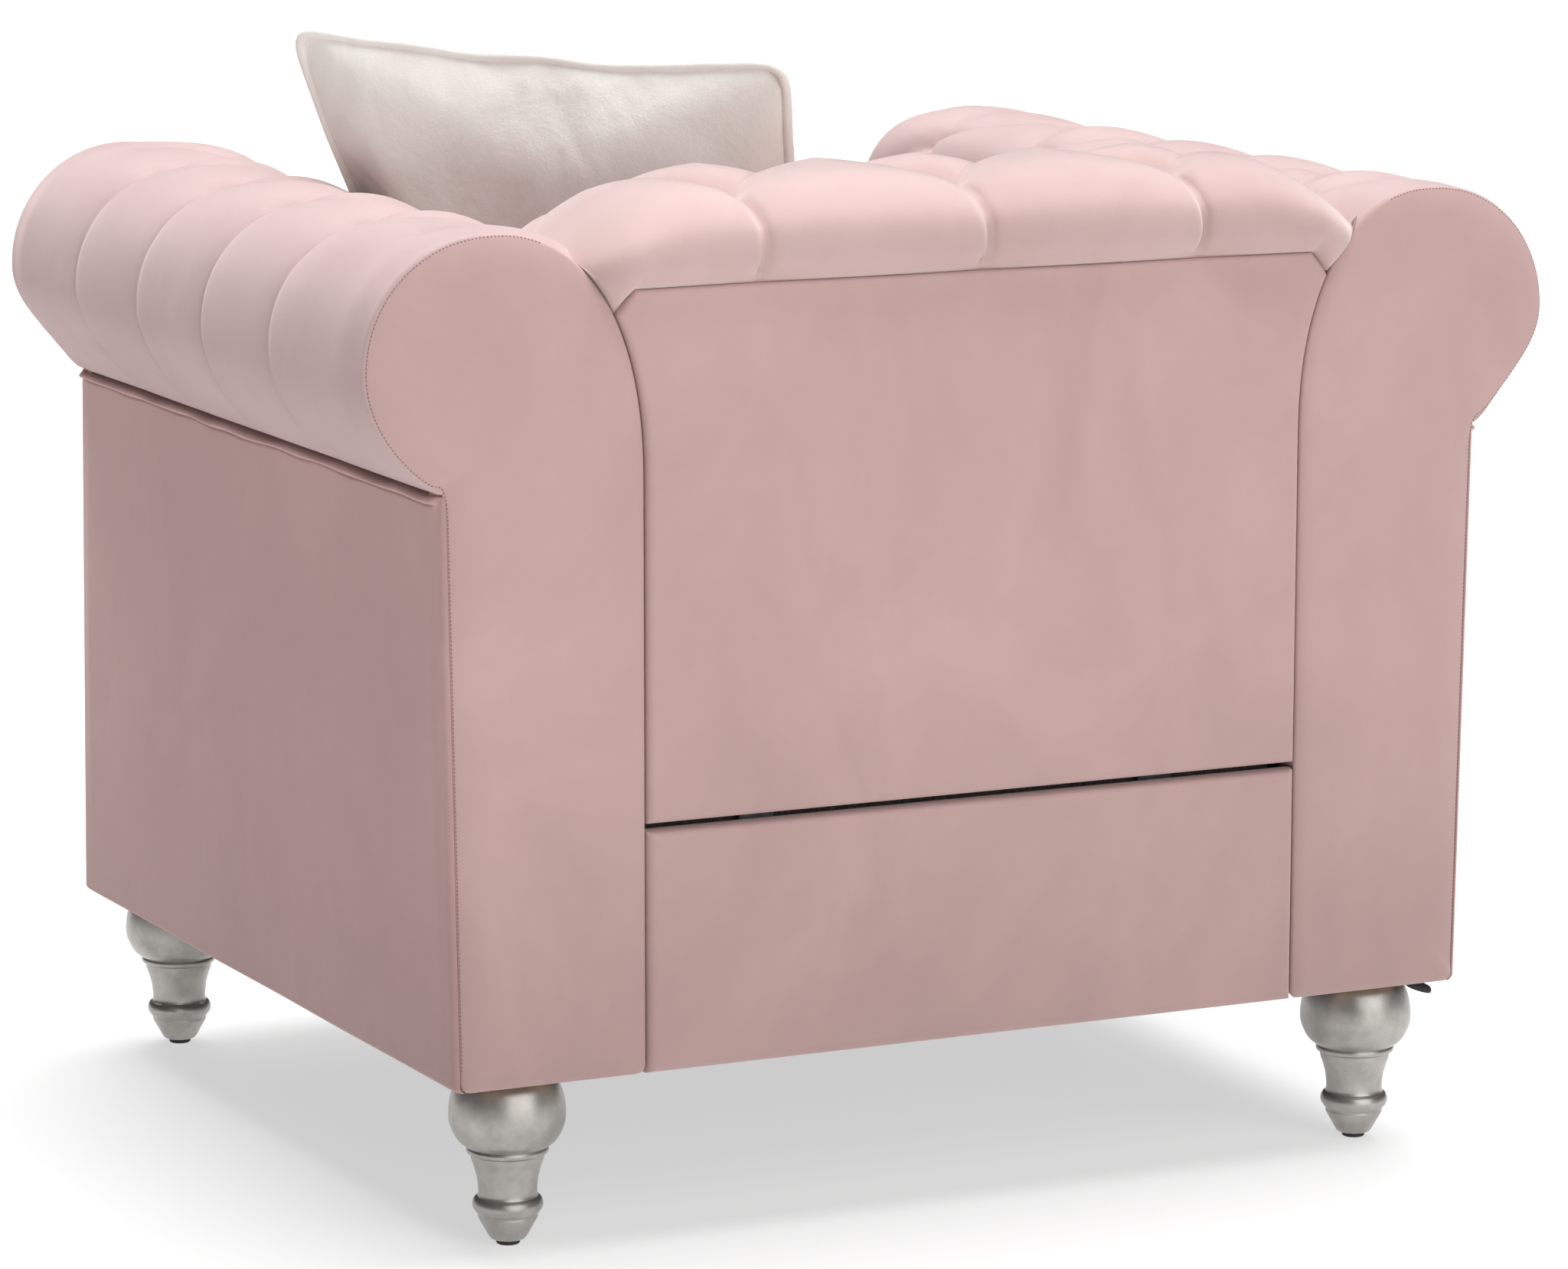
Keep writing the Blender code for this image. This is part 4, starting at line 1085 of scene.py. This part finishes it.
def throw_pillow():
    """A plush knife-edge pillow, blown up flat and then bowed between its four corners."""
    mesh = flat_pillow()
    made = bpy.data.objects.new("throw_pillow_cover", mesh)
    bpy.context.scene.collection.objects.link(made)
    flat = mesh_points(mesh)
    flat_s, flat_t = flat[:, 0] * 2 / PILLOW_CUT, flat[:, 1] * 2 / PILLOW_CUT
    blown = inflate(made, 3.5, 24, 40)
    blown -= blown.mean(0)
    corners = blown[np.argsort(np.abs(flat_s) + np.abs(flat_t))[-4:]]
    half = np.abs(corners[:, :2]).mean(0)
    s, t = blown[:, 0] / half[0], blown[:, 1] / half[1]
    s, t = flat_s + PILLOW_KEPT * (s - flat_s), flat_t + PILLOW_KEPT * (t - flat_t)
    up = blown[:, 2] * min(1.0, PILLOW_HALF / np.abs(blown[:, 2]).max())
    dented = 0.0022 * waves(101, s, t, scale=1.1) + 0.0012 * waves(102, s, t, scale=0.45)
    up = up + np.sign(up) * dented * np.clip(np.abs(up) / 0.03, 0, 1)
    place = pillow_place(s, t, up)
    move_points(mesh, place)
    bm = bmesh.new()
    bm.from_mesh(mesh)
    bmesh.ops.recalc_face_normals(bm, faces=bm.faces)
    bm.to_mesh(mesh)
    bm.free()
    mesh.materials.append(PLUSH)
    mesh.shade_smooth()
    subdivide(made, "finer", 1)
    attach(made, "throw_pillow")
    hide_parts("throw_pillow")

    off_rim = (np.abs(flat[:, 2]) > 1e-6) * 9
    rim = [int(np.argmin((flat_s - edge_s) ** 2 + (flat_t - edge_t) ** 2 + off_rim))
           for edge_s, edge_t in square_path(RIM_STEPS)]
    path = eased(place[rim], 6)
    tube("throw_pillow_seam", path, PILLOW_WELT, PLUSH, "throw_pillow", uneven=0.20)


# ---- legs ---------------------------------------------------------------------------------------
def leg_profile():
    """(radius, height) of a turned leg from its top face down to its foot."""
    top, sole = 0.1361, 0.0037
    bun = spline([(0.0365, top), (0.0412, 0.1300), (0.0449, 0.1190), (0.0464, 0.1062), (0.0452, 0.0968),
                  (0.0405, 0.0868), (0.0348, 0.0812), (0.0318, 0.0795)], 6)
    bead = spline([(0.0318, 0.0795), (0.0327, 0.0775), (0.0323, 0.0752), (0.0304, 0.0738)], 5)
    cove = spline([(0.0292, 0.0732), (0.0287, 0.0690), (0.0266, 0.0630), (0.0243, 0.0540), (0.0234, 0.0460),
                   (0.0234, 0.0415), (0.0240, 0.0392)], 6)
    ring = spline([(0.0240, 0.0392), (0.0266, 0.0372), (0.0280, 0.0335), (0.0276, 0.0300), (0.0252, 0.0262),
                   (0.0240, 0.0250)], 6)
    foot = spline([(0.0236, 0.0240), (0.0236, 0.0218), (0.0217, 0.0180), (0.0188, 0.0130), (0.0156, 0.0072),
                   (0.0136, 0.0046), (0.0107, sole)], 6)
    return [(0.0, top)] + [tuple(p) for part in (bun, bead, cove, ring, foot) for p in part] + [(0.0, sole)]


def legs():
    """Four turned legs in satin silver; the glides, plates and bolts stay as the frame has them."""
    profile = leg_profile()
    turns = 72
    for end in ENDS:
        for side in SIDES:
            low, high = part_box(f"leg_{end}_{side}")
            centre = (low + high) / 2
            rings = []
            for radius, height in profile:
                rings.append([(centre.x + radius * math.cos(a), centre.y + radius * math.sin(a), height)
                              for a in np.linspace(0, 2 * math.pi, turns, endpoint=False)])
            made = piece(f"turned_leg_{end}_{side}", np.array(rings).reshape(-1, 3),
                         ring_faces(len(rings), turns, capped=False), SILVER, "chair",
                         smooth=34)
            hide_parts(f"leg_{end}_{side}")


def loose_corner():
    """A folded corner of the dust cover that hangs out beside the right rear leg."""
    x, y, z = -(FOOT_OUT["rear"] - 0.028), REAR_Y - 0.020, BODY_Z
    lower = [(-0.015, -0.008, -0.0115), (0.013, -0.010, -0.0030), (0.015, 0.008, -0.0060),
             (-0.012, 0.010, -0.0140)]
    rings = []
    for lift in (0.0, 0.0010, 0.0030, 0.0048, 0.0060):
        shrink = 1 - 0.10 * abs(lift - 0.0030) / 0.0030
        rings.append([(x + a * shrink, y + b * shrink, z + c + lift) for a, b, c in lower])
    made = piece("dust_cover_corner", np.array(rings).reshape(-1, 3), ring_faces(5, 4), CAMBRIC, "chair",
                 smooth=40)
    subdivide(made, "softer", 2)


# ---- carried-over frame nodes -------------------------------------------------------------------
def frame_materials():
    """Materials for the nodes that show as the frame has them, by the start of their names."""
    looks = (("glide_", BLACK_PLASTIC), ("leg_plate_", BLACK_STEEL), ("hanger_bolt_", ZINC),
             ("seat_spring_", ZINC), ("back_bracket_", ZINC), ("arm_board_", PLYWOOD),
             ("arm_sill_", PLYWOOD), ("arm_top_rail_", PLYWOOD), ("seat_rail_", PLYWOOD),
             ("back_post_", PLYWOOD), ("back_rail_", PLYWOOD), ("dust_cover", CAMBRIC),
             ("seat_deck_pad", FELT))
    for name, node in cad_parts.items():
        for start, material in looks:
            if name.startswith(start):
                node.data.materials.clear()
                node.data.materials.append(material)


# ---- studio -------------------------------------------------------------------------------------
WORLD_LIGHT = 0.05
FLOOR_BASE = 0.36
FLOOR_GLOW = 0.585
LIGHTS = (               # name, strength, spread in degrees, direction that the light comes from
    ("key_above", 4.05, 50, (-0.15, -0.10, 1.0)),
    ("key_front", 1.20, 50, (-0.25, -0.75, 1.0)),
    ("fill_rear", 1.55, 60, (-0.10, 1.0, 0.50)))
CAMERA_AIM = (0, 0, 0.4)
CAMERA_YAW, CAMERA_PITCH = 25.4293, 10.0412    # degrees round from straight behind, and above level
CAMERA_DISTANCE = 5.18366


def studio():
    """Pale floor, soft light from above, in front and behind, and the camera."""
    scene = bpy.context.scene
    scene.view_settings.view_transform = "Standard"
    world = bpy.data.worlds.new("studio")
    scene.world = world
    world.use_nodes = True
    world.node_tree.nodes["Background"].inputs["Color"].default_value = (1.0, 1.0, 1.0, 1.0)
    world.node_tree.nodes["Background"].inputs["Strength"].default_value = WORLD_LIGHT

    mesh = bpy.data.meshes.new("floor")
    bm = bmesh.new()
    bmesh.ops.create_grid(bm, x_segments=1, y_segments=1, size=60.0)
    bm.to_mesh(mesh)
    bm.free()
    floor_look = Nodes("pale_floor")
    mesh.materials.append(floor_look.done(
        Base_Color=(FLOOR_BASE, FLOOR_BASE, FLOOR_BASE, 1.0), Roughness=0.9, Specular_IOR_Level=0.0,
        Emission_Color=(1.0, 1.0, 1.0, 1.0), Emission_Strength=FLOOR_GLOW))
    floor = bpy.data.objects.new("floor", mesh)
    scene.collection.objects.link(floor)

    for name, energy, spread, toward in LIGHTS:
        light = bpy.data.lights.new(name, "SUN")
        light.energy = energy
        light.angle = math.radians(spread)
        lamp = bpy.data.objects.new(name, light)
        lamp.rotation_euler = Vector(toward).to_track_quat("Z", "Y").to_euler()
        scene.collection.objects.link(lamp)

    camera_data = bpy.data.cameras.new("camera")
    camera_data.sensor_width = 36.0
    camera_data.lens = 138.75
    camera_data.shift_x = 0.01907
    camera_data.clip_end = 200
    camera = bpy.data.objects.new("camera", camera_data)
    yaw, pitch = math.radians(CAMERA_YAW), math.radians(CAMERA_PITCH)
    away = Vector((math.sin(yaw) * math.cos(pitch), math.cos(yaw) * math.cos(pitch), math.sin(pitch)))
    camera.location = Vector(CAMERA_AIM) + away * CAMERA_DISTANCE
    camera.rotation_euler = away.to_track_quat("Z", "Y").to_euler()
    scene.collection.objects.link(camera)
    scene.camera = camera


arms()
back_cover()
back_panel()
rail_covers()
seat_cushion()
throw_pillow()
legs()
loose_corner()
frame_materials()
studio()
bpy.context.view_layer.update()
